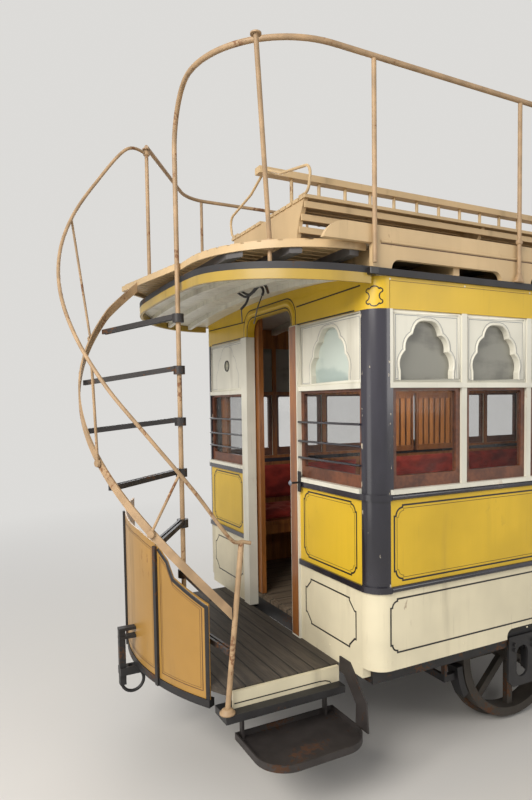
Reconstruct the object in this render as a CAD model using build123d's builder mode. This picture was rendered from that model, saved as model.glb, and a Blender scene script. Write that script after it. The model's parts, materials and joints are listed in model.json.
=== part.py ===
"""Double-deck horse tram: closed saloon, two end platforms with spiral stairs, open top deck.

Frame: +X along the tram, +Z up, origin at the centre of the plan at the bottom of the wheel
flanges. End a is at -X and end b at +X. End b is end a turned half a turn about Z, so the
stair of end a starts at -Y and the stair of end b starts at +Y.
"""
import os
from math import asin, atan2, cos, degrees, radians, sin

from build123d import *

os.makedirs("parts", exist_ok=True)

# Saloon, in millimetres
WINDOWS = 8
PITCH = 470.5
POST_R = 98
HALF_W = 1050
HALF_L = POST_R + WINDOWS * PITCH / 2
WALL = 60
END_WALL = 48

# Heights above the bottom of the wheel flanges
PLATFORM_Z = 597
ROCKER_Z = 650
SALOON_Z = 672
WAIST_Z = 1046
SILL_Z = 1527
TRANSOM_Z = 2023
BOARD_Z = 2379
ROOF_Z = 2527
BEAD_H = 32
DECK_Z = 2685
SIDE_SPLIT_Z = 2671
SIDE_TOP_Z = 2754
SEAT_Z = 3064
BACK_Z = 3364
GUARD_Z = 3488

# Side mouldings and window frames
RAIL_H = 30
RAIL_OUT = 12
SILL_H = 22
SILL_OUT = 16
PILLAR_W = 34
SASH_W = 28
SASH_FOOT = 62
SASH_HEAD = 14
SASH_T = 24
SASH_R = 12
GLASS_T = 5
FIT = 0.3
TRANSOM_H = 26
FANLIGHT_T = 30

# Doors
DOOR_W = 572
DOOR_TOP_Z = 2489
DOOR_CORNER_R = 80
POST_W = 84
LEAF_T = 32
LEAF_GAP = 8
LEAF_LIFT = 6
LEAF_LAP = 46
LEAF_END = 72
STILE_W = 95
LEAF_SILL_Z = 1450

# Roof and canopies
CAMBER = 60
ROOF_T = 32
CANOPY_OUT = 650
CANOPY_R = 600
FASCIA_H = 47
FASCIA_T = 18

# Upper deck
LANDING_OUT = 655
LANDING_R = 600
LANDING_HALF_W = HALF_W - 48
SLAT_T = 20
LANDING_EDGE_H = 20
BOARD_T = 26
DECK_HALF_W = HALF_W - BOARD_T - 2
SEAT_HALF_W = 485
SEAT_TOP_HALF_W = 463
SEAT_FOOT_HALF_W = 352
SLAT_PITCH = 62
SLAT_W = 48

# Guard rails
RAIL_TUBE_R = 12.5
GUARD_HALF_W = HALF_W + 16
GUARD_OUT = 737
GUARD_R = 485
POLE_BEND_R = 250
POST_STATIONS = (1042, 0, -1042)
POST_TUBE_R = 11

# Platform and dash
PLATFORM_HALF_W = HALF_W - 308
PLATFORM_OUT = 868
DASH_SIDE_OUT = 687
DASH_HALF_W = PLATFORM_HALF_W - 76
PLANK_T = 25
EDGE_H = 80
EDGE_T = 18
DASH_T = 8
DASH_FOOT_Z = 530
DASH_NEAR_Z = 990
DASH_FAR_Z = 1330
DASH_TOP = ((-450, 1085), (-405, 1165), (-310, 1232), (-100, 1272), (310, 1302))

# Spiral stair
POLE_OUT = 673
POLE_Y = -285
STAIR_R = 498
RISE = 268.7
TREADS = 7
FIRST_A = -66.0
TREAD_STEP = 27.9
STRINGER_H = 56
STRINGER_T = 9
HANDRAIL_R = 583
HANDRAIL_TUBE_R = 9
NEWEL_R = 13

# Running gear
WHEEL_R = 420
FLANGE = 25
WHEEL_X = 730
GAUGE_BACK = 1360
TYRE_W = 110
SPOKES = 8
AXLE_R = 42
JOURNAL_R = 30
JOURNAL_PLAY = 0.5
SOLE_Z = 560
SOLE_Y = HALF_W - 120
SOLE_W = 80

AXLE_Z = WHEEL_R + FLANGE
DOOR_POST_Y = DOOR_W / 2
END_X = -HALF_L
POLE_X = END_X - POLE_OUT


def finish(builder, name):
    """Label a finished sub-part and write its STEP file."""
    builder.part.label = name
    export_step(builder.part, f"parts/{name}.step")


def turned(shape):
    """The same piece at end b."""
    return shape.rotate(Axis.Z, 180)


def block(x, y, z):
    """Add a box between two x, two y and two z values to the open builder."""
    with Locations(((x[0] + x[1]) / 2, (y[0] + y[1]) / 2, (z[0] + z[1]) / 2)):
        Box(abs(x[1] - x[0]), abs(y[1] - y[0]), abs(z[1] - z[0]))


def tube(points, radius, bends):
    """A round bar along straight runs joined by arcs."""
    with BuildPart() as bar:
        with BuildLine() as path:
            FilletPolyline(*points, radius=bends)
        with BuildSketch(Plane(origin=path.line @ 0, z_dir=path.line % 0)):
            Circle(radius)
        sweep()
    return bar.part


def on_stair(radius, angle, z):
    """A point on a cylinder about the stair's pole, angle in degrees."""
    a = radians(angle)
    return (POLE_X + radius * cos(a), POLE_Y + radius * sin(a), z)


def tread_z(number):
    """Top of a tread, counted from 0 at the landing down to the first step."""
    return DECK_Z - number * RISE


def tread_angle(number):
    """Nosing angle of a tread about the pole, going clockwise up the stair."""
    return FIRST_A - TREAD_STEP * (TREADS - number)


def bar(a, b, radius):
    """A straight round bar between two points."""
    axis = Vector(*b) - Vector(*a)
    with BuildPart() as rod:
        with BuildSketch(Plane(origin=a, z_dir=axis)):
            Circle(radius)
        extrude(amount=axis.length)
    return rod.part


def end_outline(half_w, out, corner_r):
    """Plan of a canopy at end a: a rounded end on straight sides."""
    with BuildSketch() as plan:
        with BuildLine():
            near = Line((END_X, -half_w), (END_X - out + corner_r, -half_w))
            c1 = RadiusArc(near @ 1, (END_X - out, -half_w + corner_r), corner_r)
            face = Line(c1 @ 1, (END_X - out, half_w - corner_r))
            c2 = RadiusArc(face @ 1, (END_X - out + corner_r, half_w), corner_r)
            far = Line(c2 @ 1, (END_X, half_w))
            Line(far @ 1, near @ 0)
        make_face()
    return plan.sketch


def camber_section(half_w, low, high):
    """Cross-section of the cambered roof, between two heights at its edge."""
    with BuildSketch() as section:
        with BuildLine():
            bottom = ThreePointArc((-half_w, low), (0, low + CAMBER), (half_w, low))
            top = ThreePointArc((-half_w, high), (0, high + CAMBER), (half_w, high))
            Line(bottom @ 0, top @ 0)
            Line(bottom @ 1, top @ 1)
        make_face()
    return section.sketch


def corner_sector(radius, inner):
    """Plan of a quarter-round corner at end a and -Y, from one radius to another."""
    x, y = END_X + POST_R, -HALF_W + POST_R
    with BuildSketch() as sector:
        with BuildLine():
            edge = CenterArc((x, y), radius, 180, 90)
            Polyline(edge @ 1, (x, y), edge @ 0)
        make_face()
        if inner:
            with Locations((x, y)):
                Circle(inner, mode=Mode.SUBTRACT)
    return sector.sketch


pillar_x = [END_X + POST_R + PITCH * i for i in range(WINDOWS + 1)]
bay_x = [(a + b) / 2 for a, b in zip(pillar_x, pillar_x[1:])]
side_in = HALF_W - WALL
wall_x = (END_X + POST_R, -END_X - POST_R)
end_face = (END_X, END_X + END_WALL)
end_y = (DOOR_POST_Y + POST_W, HALF_W - POST_R)
end_mid = (end_y[0] + end_y[1]) / 2
end_w = end_y[1] - end_y[0]

# Underframe: sole bars, headstocks, cross bearers and the bearers under the platforms
BEARER_W = 70
PLATFORM_BEARER_Y = 330
BEARER_FOOT_Z = 491
HEAD_X = END_X + END_WALL + FIT
BRAKE_GAP = 6
SHOE_T = 40
SHOE_W = 70
SHOE_A = (184, 208)
HANGER_X = WHEEL_X + WHEEL_R + 102
HANGER_T = 20
with BuildPart() as underframe:
    for y in (-SOLE_Y, SOLE_Y):
        block((HEAD_X, -HEAD_X), (y - SOLE_W / 2, y + SOLE_W / 2), (SOLE_Z, ROCKER_Z))
    for x in (HEAD_X + BEARER_W / 2, END_X + 700, 0, -END_X - 700, -HEAD_X - BEARER_W / 2):
        block((x - BEARER_W / 2, x + BEARER_W / 2), (-SOLE_Y, SOLE_Y), (SOLE_Z, ROCKER_Z))
    for y in (-PLATFORM_BEARER_Y, PLATFORM_BEARER_Y):
        for side in (-1, 1):
            block(
                (side * (HALF_L - 740), side * (HALF_L + 690)),
                (y - BEARER_W / 2, y + BEARER_W / 2),
                (BEARER_FOOT_Z, PLATFORM_Z - PLANK_T),
            )
    shoe_y = GAUGE_BACK / 2 + TYRE_W / 2 + 16
    for side in (-1, 1):
        with BuildSketch(Plane.XZ.offset(-side * shoe_y - SHOE_W / 2)):
            with BuildLine():
                near = WHEEL_R + BRAKE_GAP
                a = CenterArc((-WHEEL_X, AXLE_Z), near, SHOE_A[0], SHOE_A[1] - SHOE_A[0])
                b = CenterArc((-WHEEL_X, AXLE_Z), near + SHOE_T, SHOE_A[0], SHOE_A[1] - SHOE_A[0])
                Line(a @ 0, b @ 0)
                Line(a @ 1, b @ 1)
            make_face()
        extrude(amount=SHOE_W)
        block(
            (-HANGER_X - HANGER_T, -HANGER_X),
            (side * shoe_y - 14, side * shoe_y + 14),
            (AXLE_Z - 110, SOLE_Z),
        )
        block(
            (-HANGER_X, -WHEEL_X - WHEEL_R - SHOE_T),
            (side * shoe_y - 14, side * shoe_y + 14),
            (AXLE_Z - 110, AXLE_Z - 70),
        )
    block(
        (-HANGER_X - HANGER_T, -HANGER_X),
        (-shoe_y, shoe_y),
        (AXLE_Z - 110, AXLE_Z - 70),
    )
    add(turned(underframe.part))
finish(underframe, "underframe")

# Axle guards: a plate with a horn gap and two slots on each side of both axles
GUARD_T = 14
GUARD_SPREAD = 275
HORN_W = 120
HORN_FOOT_Z = 330
SLOT_W = 90
with BuildPart() as axle_guards:
    for x in (-WHEEL_X, WHEEL_X):
        with BuildSketch(Plane.XZ.offset(SOLE_Y + SOLE_W / 2)):
            with BuildLine():
                Polyline(
                    (x - GUARD_SPREAD, SOLE_Z + 60),
                    (x - GUARD_SPREAD, HORN_FOOT_Z + 40),
                    (x - GUARD_SPREAD + 40, HORN_FOOT_Z),
                    (x + GUARD_SPREAD - 40, HORN_FOOT_Z),
                    (x + GUARD_SPREAD, HORN_FOOT_Z + 40),
                    (x + GUARD_SPREAD, SOLE_Z + 60),
                    close=True,
                )
            make_face()
            with Locations((x, HORN_FOOT_Z + 130)):
                Rectangle(HORN_W, 150, mode=Mode.SUBTRACT)
            for side in (-1, 1):
                with Locations((x + side * (HORN_W / 2 + GUARD_SPREAD) / 2, HORN_FOOT_Z + 140)):
                    SlotOverall(180, SLOT_W, rotation=90, mode=Mode.SUBTRACT)
        extrude(amount=GUARD_T)
    mirror(about=Plane.XZ)
finish(axle_guards, "axle_guards")

# Axle boxes with the leaf springs between them and the sole bars
JOURNAL_L = 60
BOX_Y = (SOLE_Y - SOLE_W / 2 - 8, SOLE_Y + SOLE_W / 2 - FIT)
BOX_TOP_Z = 515
LEAVES = 4
leaf_t = (SOLE_Z - FIT - BOX_TOP_Z) / LEAVES
with BuildPart() as springs:
    for x in (-WHEEL_X, WHEEL_X):
        block((x - 58, x + 58), BOX_Y, (BOX_TOP_Z - 140, BOX_TOP_Z))
        with BuildSketch(Plane((x, BOX_Y[0], AXLE_Z), x_dir=(1, 0, 0), z_dir=(0, 1, 0))):
            Circle(JOURNAL_R + JOURNAL_PLAY)
        extrude(amount=JOURNAL_L + 2, mode=Mode.SUBTRACT)
        for leaf in range(LEAVES):
            half = 240 - 55 * (LEAVES - 1 - leaf)
            z = BOX_TOP_Z + leaf_t * leaf
            block((x - half, x + half), (BOX_Y[0] + 12, BOX_Y[1] - 12), (z, z + leaf_t))
    mirror(about=Plane.XZ)
finish(springs, "springs")

# Where the sliding door of end a stands when it is open
LEAF_X = END_X + END_WALL + LEAF_GAP
leaf_y = (DOOR_POST_Y - LEAF_LAP, HALF_W - POST_R - LEAF_END)
leaf_w = leaf_y[1] - leaf_y[0]
leaf_z = (SALOON_Z + LEAF_LIFT, DOOR_TOP_Z + 15)
leaf_mid_x = LEAF_X + LEAF_T / 2
leaf_mid_y = (leaf_y[0] + leaf_y[1]) / 2

# Saloon floor with a box over each wheel and a rail under each sliding door
DOOR_RAIL_W = 10
WHEELBOX_HALF = 480
WHEELBOX_Y = (GAUGE_BACK / 2 - 40, GAUGE_BACK / 2 + TYRE_W + 40)
WHEELBOX_TOP = 930
WHEELBOX_T = 18
with BuildPart() as saloon_floor:
    block(wall_x, (-side_in, side_in), (ROCKER_Z, SALOON_Z))
    block((-HALF_L + END_WALL, HALF_L - END_WALL), (-end_y[1], end_y[1]), (ROCKER_Z, SALOON_Z))
    for side in (-1, 1):
        block(
            (side * (leaf_mid_x - DOOR_RAIL_W / 2), side * (leaf_mid_x + DOOR_RAIL_W / 2)),
            (side * -leaf_w / 2, side * leaf_y[1]),
            (SALOON_Z, leaf_z[0] - FIT),
        )
    for x in (-WHEEL_X, WHEEL_X):
        block(
            (x - WHEELBOX_HALF, x + WHEELBOX_HALF),
            WHEELBOX_Y,
            (ROCKER_Z, WHEELBOX_TOP),
        )
        block(
            (x - WHEELBOX_HALF, x + WHEELBOX_HALF),
            (-WHEELBOX_Y[1], -WHEELBOX_Y[0]),
            (ROCKER_Z, WHEELBOX_TOP),
        )
    for x in (-WHEEL_X, WHEEL_X):
        for side in (-1, 1):
            with Locations((x, side * (WHEELBOX_Y[0] + WHEELBOX_Y[1]) / 2, ROCKER_Z)):
                Box(
                    2 * (WHEELBOX_HALF - WHEELBOX_T),
                    WHEELBOX_Y[1] - WHEELBOX_Y[0] - 2 * WHEELBOX_T,
                    WHEELBOX_TOP - WHEELBOX_T - ROCKER_Z,
                    align=(Align.CENTER, Align.CENTER, Align.MIN),
                    mode=Mode.SUBTRACT,
                )
finish(saloon_floor, "saloon_floor")

# The bowed platform end: an arc through the dash's ends and its middle
SAGITTA = PLATFORM_OUT - DASH_SIDE_OUT
BOW_R = (DASH_HALF_W**2 + SAGITTA**2) / (2 * SAGITTA)
BOW_X = END_X - PLATFORM_OUT + BOW_R
BOW_A = degrees(atan2(DASH_HALF_W, BOW_X - END_X + DASH_SIDE_OUT))


def bow_band(outer, inner, half_angle):
    """A strip between two arcs about the bow's centre."""
    with BuildSketch() as strip:
        with BuildLine():
            a = CenterArc((BOW_X, 0), outer, 180 - half_angle, 2 * half_angle)
            b = CenterArc((BOW_X, 0), inner, 180 - half_angle, 2 * half_angle)
            Line(a @ 0, b @ 0)
            Line(a @ 1, b @ 1)
        make_face()
    return strip.sketch


with BuildPart() as platforms:
    with BuildSketch(Plane.XY.offset(PLATFORM_Z - PLANK_T)):
        with BuildLine():
            bow = CenterArc((BOW_X, 0), BOW_R - DASH_T - FIT, 180 - BOW_A, 2 * BOW_A)
            Polyline(
                bow @ 0,
                (END_X - DASH_SIDE_OUT + 50, PLATFORM_HALF_W),
                (END_X - FIT, PLATFORM_HALF_W),
                (END_X - FIT, -PLATFORM_HALF_W),
                (END_X - DASH_SIDE_OUT + 50, -PLATFORM_HALF_W),
                bow @ 1,
            )
        make_face()
    extrude(amount=PLANK_T)
    add(turned(platforms.part))
finish(platforms, "platforms")

# Cream riser under the open edges of the platforms
EDGE_OUT = 606
with BuildPart() as platform_edges:
    for side in (-1, 1):
        block(
            (END_X - EDGE_OUT, END_X - 10),
            (side * PLATFORM_HALF_W, side * (PLATFORM_HALF_W + EDGE_T)),
            (PLATFORM_Z - EDGE_H - 8, PLATFORM_Z - 8),
        )
    add(turned(platform_edges.part))
finish(platform_edges, "platform_edges")

# Dash sheets, bowed in plan, with a top edge that rises under the stair
with BuildPart() as dashes:
    with BuildSketch(Plane.XY.offset(DASH_FOOT_Z)):
        add(bow_band(BOW_R, BOW_R - DASH_T, BOW_A))
    extrude(amount=1000)
    with BuildSketch(Plane.YZ.offset(END_X - PLATFORM_OUT - 50)):
        with BuildLine():
            Polyline(
                (-DASH_HALF_W - 10, DASH_FOOT_Z - 10),
                (-DASH_HALF_W - 10, DASH_NEAR_Z),
                *DASH_TOP,
                (DASH_HALF_W + 10, DASH_FAR_Z),
                (DASH_HALF_W + 10, DASH_FOOT_Z - 10),
                close=True,
            )
        make_face()
    extrude(amount=400, mode=Mode.INTERSECT)
    add(turned(dashes.part))
finish(dashes, "dashes")

# Black irons of the dash: sill bar, stanchions and the ledge that carries the newel
STANCHION_Y = 310
LEDGE_OUT = 668
LEDGE_Z = (BEARER_FOOT_Z - 20, PLATFORM_Z - EDGE_H - 8 - FIT)
with BuildPart() as dash_irons:
    with BuildSketch(Plane.XY.offset(BEARER_FOOT_Z)):
        add(bow_band(BOW_R + 6, BOW_R - 34, BOW_A))
    extrude(amount=DASH_FOOT_Z - BEARER_FOOT_Z - FIT)
    stanchion_a = degrees(asin(STANCHION_Y / BOW_R))
    for angle, top in ((stanchion_a, 1221), (-stanchion_a, 1308)):
        with BuildSketch(Plane.XY.offset(BEARER_FOOT_Z)):
            with Locations((BOW_X, 0)):
                with PolarLocations(BOW_R + 7.1, 1, 180 + angle):
                    Rectangle(14, 26)
        extrude(amount=top - BEARER_FOOT_Z)
    block(
        (END_X - LEDGE_OUT, END_X - 10),
        (-PLATFORM_HALF_W - 74, -PLATFORM_HALF_W + 60),
        LEDGE_Z,
    )
    block(
        (END_X - LEDGE_OUT, END_X - 10),
        (PLATFORM_HALF_W - 60, PLATFORM_HALF_W + 30),
        LEDGE_Z,
    )
    add(turned(dash_irons.part))
finish(dash_irons, "dash_irons")

# Draw gear: a bar with a hole for the coupling pin, an upright on hinge lugs and a ring
DRAW_Z = 470
DRAW_H = 42.7
DRAW_PIN_R = 13
DRAW_PIN_OUT = 901
UPRIGHT_OUT = (928, 962)
UPRIGHT_Z = (392, 712)
RING_R = 62
RING_Z = 404
with BuildPart() as draw_gear:
    block((END_X - UPRIGHT_OUT[1], END_X - 40), (-30, 30), (DRAW_Z - 22, DRAW_Z - 22 + DRAW_H))
    block((END_X - UPRIGHT_OUT[1], END_X - UPRIGHT_OUT[0]), (-18, 18), UPRIGHT_Z)
    for z in (650, UPRIGHT_Z[1] - 16):
        block((END_X - UPRIGHT_OUT[1], END_X - PLATFORM_OUT - FIT), (-22, 22), (z, z + 16))
    with Locations(Plane(origin=(END_X - 888, 0, RING_Z), z_dir=(0, 1, 0))):
        Torus(RING_R, 9)
    for y in (-60, 60):
        block((END_X - 800, END_X - 760), (y - 30, y + 30), (DRAW_Z - 60, DRAW_Z - 22 + DRAW_H))
    with Locations((END_X - DRAW_PIN_OUT, 0, DRAW_Z)):
        Cylinder(DRAW_PIN_R, 60, mode=Mode.SUBTRACT)
    add(turned(draw_gear.part))
finish(draw_gear, "draw_gear")

# Dished foot steps hung at the entrance corners
STEP_Z = 352
STEP_H = 34
STEP_RIM = 8
STEP_X = (END_X - 572, END_X - 9)
STEP_Y = (PLATFORM_HALF_W - 50, HALF_W + 12)
STEP_R = 150
BRACKET_T = 8.5


def step_plan(inset):
    """Plan of a step: square against the platform, round at its outer corners."""
    x0, x1 = STEP_X[0] + inset, STEP_X[1] - inset
    y0, y1 = -STEP_Y[1] + inset, -STEP_Y[0] - inset
    r = STEP_R - inset
    with BuildSketch() as plan:
        with BuildLine():
            a = Line((x0, y1), (x0, y0 + r))
            b = CenterArc((x0 + r, y0 + r), r, 180, 90)
            Line((x0 + r, y0), (x1 - r, y0))
            CenterArc((x1 - r, y0 + r), r, 270, 90)
            e = Line((x1, y0 + r), (x1, y1))
            Line(e @ 1, a @ 0)
        make_face()
    return plan.sketch


with BuildPart() as steps:
    with BuildSketch(Plane.XY.offset(STEP_Z - STEP_H)):
        add(step_plan(0))
    extrude(amount=STEP_H)
    with BuildSketch(Plane.XY.offset(STEP_Z - STEP_H + STEP_RIM)):
        add(step_plan(STEP_RIM))
    extrude(amount=STEP_H, mode=Mode.SUBTRACT)
    for x in (STEP_X[0] + 30, STEP_X[1] - 60):
        block((x - 6, x + 6), (-STEP_Y[0] - 34, -STEP_Y[0] - 4), (STEP_Z - STEP_H, LEDGE_Z[0] - FIT))
    with BuildSketch(Plane.YZ.offset(STEP_X[1])):
        with BuildLine():
            inner, outer = -PLATFORM_HALF_W - EDGE_T - 2, -STEP_Y[1] + 60
            Polyline(
                (inner, PLATFORM_Z + 43),
                (inner - 90, PLATFORM_Z + 43),
                (outer + 12, STEP_Z + 138),
                (outer, STEP_Z - 8),
                (outer + 100, STEP_Z - 8),
                (outer + 98, STEP_Z + 100),
                (inner - 40, PLATFORM_Z - 36),
                (inner, PLATFORM_Z - 36),
                close=True,
            )
        make_face()
    extrude(amount=BRACKET_T)
    add(turned(steps.part))
finish(steps, "steps")

# Rocker panels: the cream lower panels of the sides and ends
NOTCH_HALF = 365
NOTCH_H = 55
with BuildPart() as rocker_panels:
    block(wall_x, (-HALF_W, -side_in), (ROCKER_Z, WAIST_Z - RAIL_H / 2))
    with BuildSketch(Plane.XZ.offset(HALF_W + 10)):
        for x in (-WHEEL_X, WHEEL_X):
            with Locations((x, ROCKER_Z)):
                RectangleRounded(2 * NOTCH_HALF, 2 * NOTCH_H, 40)
    extrude(amount=-WALL - 20, mode=Mode.SUBTRACT)
    for side in (-1, 1):
        with BuildSketch(Plane.XY.offset(ROCKER_Z)) as corner:
            add(corner_sector(POST_R, 0))
            if side > 0:
                mirror(about=Plane.YZ, mode=Mode.REPLACE)
        extrude(amount=WAIST_Z - RAIL_H / 2 - ROCKER_Z)
    block(end_face, (-end_y[1], -end_y[0]), (PLATFORM_Z + FIT, WAIST_Z - RAIL_H / 2))
    block(end_face, end_y, (PLATFORM_Z + FIT, WAIST_Z - RAIL_H / 2))
    add(turned(rocker_panels.part))
finish(rocker_panels, "rocker_panels")

# Waist panels: yellow, up to the belt rail
BELT_Z = SILL_Z - SILL_H - RAIL_H / 2
with BuildPart() as waist_panels:
    block(wall_x, (-HALF_W, -side_in), (WAIST_Z + RAIL_H / 2, BELT_Z - RAIL_H / 2))
    block(end_face, (-end_y[1], -end_y[0]), (WAIST_Z + RAIL_H / 2, BELT_Z - RAIL_H / 2))
    block(end_face, end_y, (WAIST_Z + RAIL_H / 2, BELT_Z - RAIL_H / 2))
    add(turned(waist_panels.part))
finish(waist_panels, "waist_panels")

# Black half-round rails under the waist and at the belt, turned round the corners
with BuildPart() as side_rails:
    for z in (WAIST_Z, BELT_Z):
        with BuildSketch(Plane.YZ.offset(wall_x[0])):
            with Locations((-(HALF_W + side_in) / 2, z)):
                Rectangle(WALL, RAIL_H)
            with Locations((-HALF_W, z)):
                Circle(RAIL_H / 2)
        extrude(amount=wall_x[1] - wall_x[0])
        for y0, y1 in ((-end_y[1], -end_y[0]), end_y):
            block((END_X - RAIL_OUT, END_X + END_WALL), (y0, y1), (z - RAIL_H / 2, z + RAIL_H / 2))
    for z, inner in ((WAIST_Z, 0), (BELT_Z, POST_R + FIT)):
        for side in (-1, 1):
            with BuildSketch(Plane.XY.offset(z - RAIL_H / 2)):
                add(corner_sector(POST_R + RAIL_OUT, inner))
                if side > 0:
                    mirror(about=Plane.YZ, mode=Mode.REPLACE)
            extrude(amount=RAIL_H)
    add(turned(side_rails.part))
finish(side_rails, "side_rails")

# Quarter-round corner posts, with the black strip beside the first window
with BuildPart() as corner_posts:
    with BuildSketch(Plane.XY.offset(WAIST_Z + RAIL_H / 2)):
        add(corner_sector(POST_R, 0))
    extrude(amount=BOARD_Z - WAIST_Z - RAIL_H / 2)
    block(
        (wall_x[0], wall_x[0] + PILLAR_W / 2),
        (-HALF_W, -side_in),
        (SILL_Z, TRANSOM_Z - TRANSOM_H / 2),
    )
    mirror(about=Plane.XZ)
    mirror(about=Plane.YZ)
finish(corner_posts, "corner_posts")

# White window framing: sills, pillars and transoms of the sides, and the door posts
fan_low = TRANSOM_Z + TRANSOM_H / 2
with BuildPart() as window_framing:
    block(wall_x, (-HALF_W - SILL_OUT, -side_in), (SILL_Z - SILL_H, SILL_Z))
    block(wall_x, (-HALF_W - 4, -side_in), (TRANSOM_Z - TRANSOM_H / 2, TRANSOM_Z + TRANSOM_H / 2))
    for x in pillar_x[1:-1]:
        block((x - PILLAR_W / 2, x + PILLAR_W / 2), (-HALF_W, -side_in), (SILL_Z, BOARD_Z))
    for x in (pillar_x[0] + PILLAR_W / 4, pillar_x[-1] - PILLAR_W / 4):
        block((x - PILLAR_W / 4, x + PILLAR_W / 4), (-HALF_W, -side_in), (fan_low, BOARD_Z))
    for side in (-1, 1):
        y0, y1 = side * DOOR_POST_Y, side * (DOOR_POST_Y + POST_W)
        block((END_X - 14, END_X + END_WALL), (y0, y1), (PLATFORM_Z + FIT, BOARD_Z))
        y0, y1 = side * end_y[0], side * end_y[1]
        block((END_X - SILL_OUT, END_X + END_WALL), (y0, y1), (SILL_Z - SILL_H, SILL_Z))
        block((END_X - 4, END_X + END_WALL), (y0, y1), (TRANSOM_Z - 13, TRANSOM_Z + 13))
    add(turned(window_framing.part))
finish(window_framing, "window_framing")

# Mahogany sashes, glass and fanlights, one of each per bay
SASH_DEPTH = 14
sash_h = TRANSOM_Z - TRANSOM_H / 2 - SILL_Z
fan_h = BOARD_Z - fan_low
bay_w = PITCH - PILLAR_W


def bay_planes(depth):
    """Planes of all bays, facing outwards: (plane, width), at a depth behind the outer face."""
    planes = []
    for x in bay_x:
        planes.append((Plane((x, -HALF_W + depth, 0), x_dir=(1, 0, 0), z_dir=(0, -1, 0)), bay_w))
    for y in (-end_mid, end_mid):
        planes.append((Plane((END_X + depth, y, 0), x_dir=(0, -1, 0), z_dir=(-1, 0, 0)), end_w))
    return planes


def sash_light(width, inset):
    """The glazed opening of a sash: deep below, narrow at the sides and the head."""
    light_h = sash_h - SASH_FOOT - SASH_HEAD
    with BuildSketch() as light:
        with Locations((0, SILL_Z + SASH_FOOT + light_h / 2)):
            RectangleRounded(
                width - 2 * SASH_W - 2 * inset, light_h - 2 * inset, SASH_R - inset
            )
    return light.sketch


with BuildPart() as sashes:
    for plane, width in bay_planes(SASH_DEPTH):
        with BuildSketch(plane):
            with Locations((0, SILL_Z + sash_h / 2)):
                Rectangle(width, sash_h)
            add(sash_light(width, 0), mode=Mode.SUBTRACT)
        extrude(amount=-SASH_T)
    add(turned(sashes.part))
finish(sashes, "sashes")

with BuildPart() as window_glass:
    for plane, width in bay_planes(SASH_DEPTH + (SASH_T - GLASS_T) / 2):
        with BuildSketch(plane):
            add(sash_light(width, FIT))
        extrude(amount=-GLASS_T)
    add(turned(window_glass.part))
finish(window_glass, "window_glass")

# Guard rods across the end windows
ROD_R = 6
with BuildPart() as window_guards:
    for y in (-end_mid, end_mid):
        for z in (1640, 1732, 1838):
            with BuildSketch(Plane.XZ.offset(-(y - end_w / 2))):
                with Locations((END_X - ROD_R - FIT, z)):
                    Circle(ROD_R)
            extrude(amount=-end_w)
    add(turned(window_guards.part))
finish(window_guards, "window_guards")

# Fanlight panels with a pointed multifoil arch, and their frosted glass
FOIL_POINTS = ((1.0, 0.0), (1.0, 0.16), (0.82, 0.44), (0.55, 0.67), (0.0, 0.86))
FOIL_SAGS = (0.0, 0.055, 0.05, 0.075)
SIDE_ARCH = 0.375
END_ARCH = 0.30
VENT_R = 34
VENT_H = 0.52


def foil_opening(half):
    """Multifoil arch standing on the lower rail: round lobes between cusps, up to a point."""
    points = [Vector(side * half, fan_low + fan_h * up) for side, up in FOIL_POINTS]
    with BuildSketch() as shape:
        with BuildLine():
            for a, b, sag in zip(points, points[1:], FOIL_SAGS):
                if sag:
                    run = b - a
                    out = Vector(run.Y, -run.X).normalized() * (sag * fan_h)
                    ThreePointArc(a, (a + b) / 2 + out, b)
                else:
                    Line(a, b)
            Line(points[-1], (0, fan_low))
            Line((0, fan_low), points[0])
        make_face()
        mirror(about=Plane.YZ)
    return shape.sketch


with BuildPart() as fanlights:
    for plane, width in bay_planes(12):
        at_end = abs(width - bay_w) > 1
        with BuildSketch(plane):
            with Locations((0, fan_low + fan_h / 2)):
                Rectangle(width, fan_h)
            if at_end and plane.origin.Y > 0:
                with Locations((0, fan_low + fan_h * VENT_H)):
                    Circle(VENT_R, mode=Mode.SUBTRACT)
            else:
                add(foil_opening(width * (END_ARCH if at_end else SIDE_ARCH)), mode=Mode.SUBTRACT)
        extrude(amount=-FANLIGHT_T)
    add(turned(fanlights.part))
finish(fanlights, "fanlights")

with BuildPart() as fanlight_glass:
    for plane, width in bay_planes(12 + FANLIGHT_T + FIT):
        with BuildSketch(plane):
            with Locations((0, fan_low + fan_h / 2)):
                Rectangle(width, fan_h)
        extrude(amount=-GLASS_T)
    add(turned(fanlight_glass.part))
finish(fanlight_glass, "fanlight_glass")

# Letterboards: a band round the saloon that the door heads cut into
with BuildPart() as letterboards:
    with BuildSketch(Plane.XY.offset(BOARD_Z)):
        RectangleRounded(2 * HALF_L, 2 * HALF_W, POST_R)
        Rectangle(2 * (HALF_L - END_WALL), 2 * side_in, mode=Mode.SUBTRACT)
    extrude(amount=ROOF_Z - BOARD_Z)
    with BuildSketch(Plane.YZ.offset(END_X - 50)):
        with Locations((0, (BOARD_Z + DOOR_TOP_Z) / 2)):
            Rectangle(DOOR_W, DOOR_TOP_Z - BOARD_Z)
    extrude(amount=2 * HALF_L + 100, mode=Mode.SUBTRACT)
    doorway = letterboards.edges().filter_by(Axis.X)
    doorway = doorway.filter_by(lambda e: abs(e.center().Z - DOOR_TOP_Z) < 1)
    fillet(doorway, DOOR_CORNER_R)
finish(letterboards, "letterboards")

# Saloon roof: cambered boards with carlines under them
with BuildPart() as roof:
    with BuildSketch(Plane.YZ.offset(END_X)):
        add(camber_section(HALF_W - FIT, ROOF_Z, ROOF_Z + ROOF_T))
    extrude(amount=2 * HALF_L)
    for x in pillar_x[1:-1]:
        with BuildSketch(Plane.YZ.offset(x - 20)):
            add(camber_section(side_in - 2, ROOF_Z - 40, ROOF_Z + 6))
        extrude(amount=40)
finish(roof, "roof")

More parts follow.
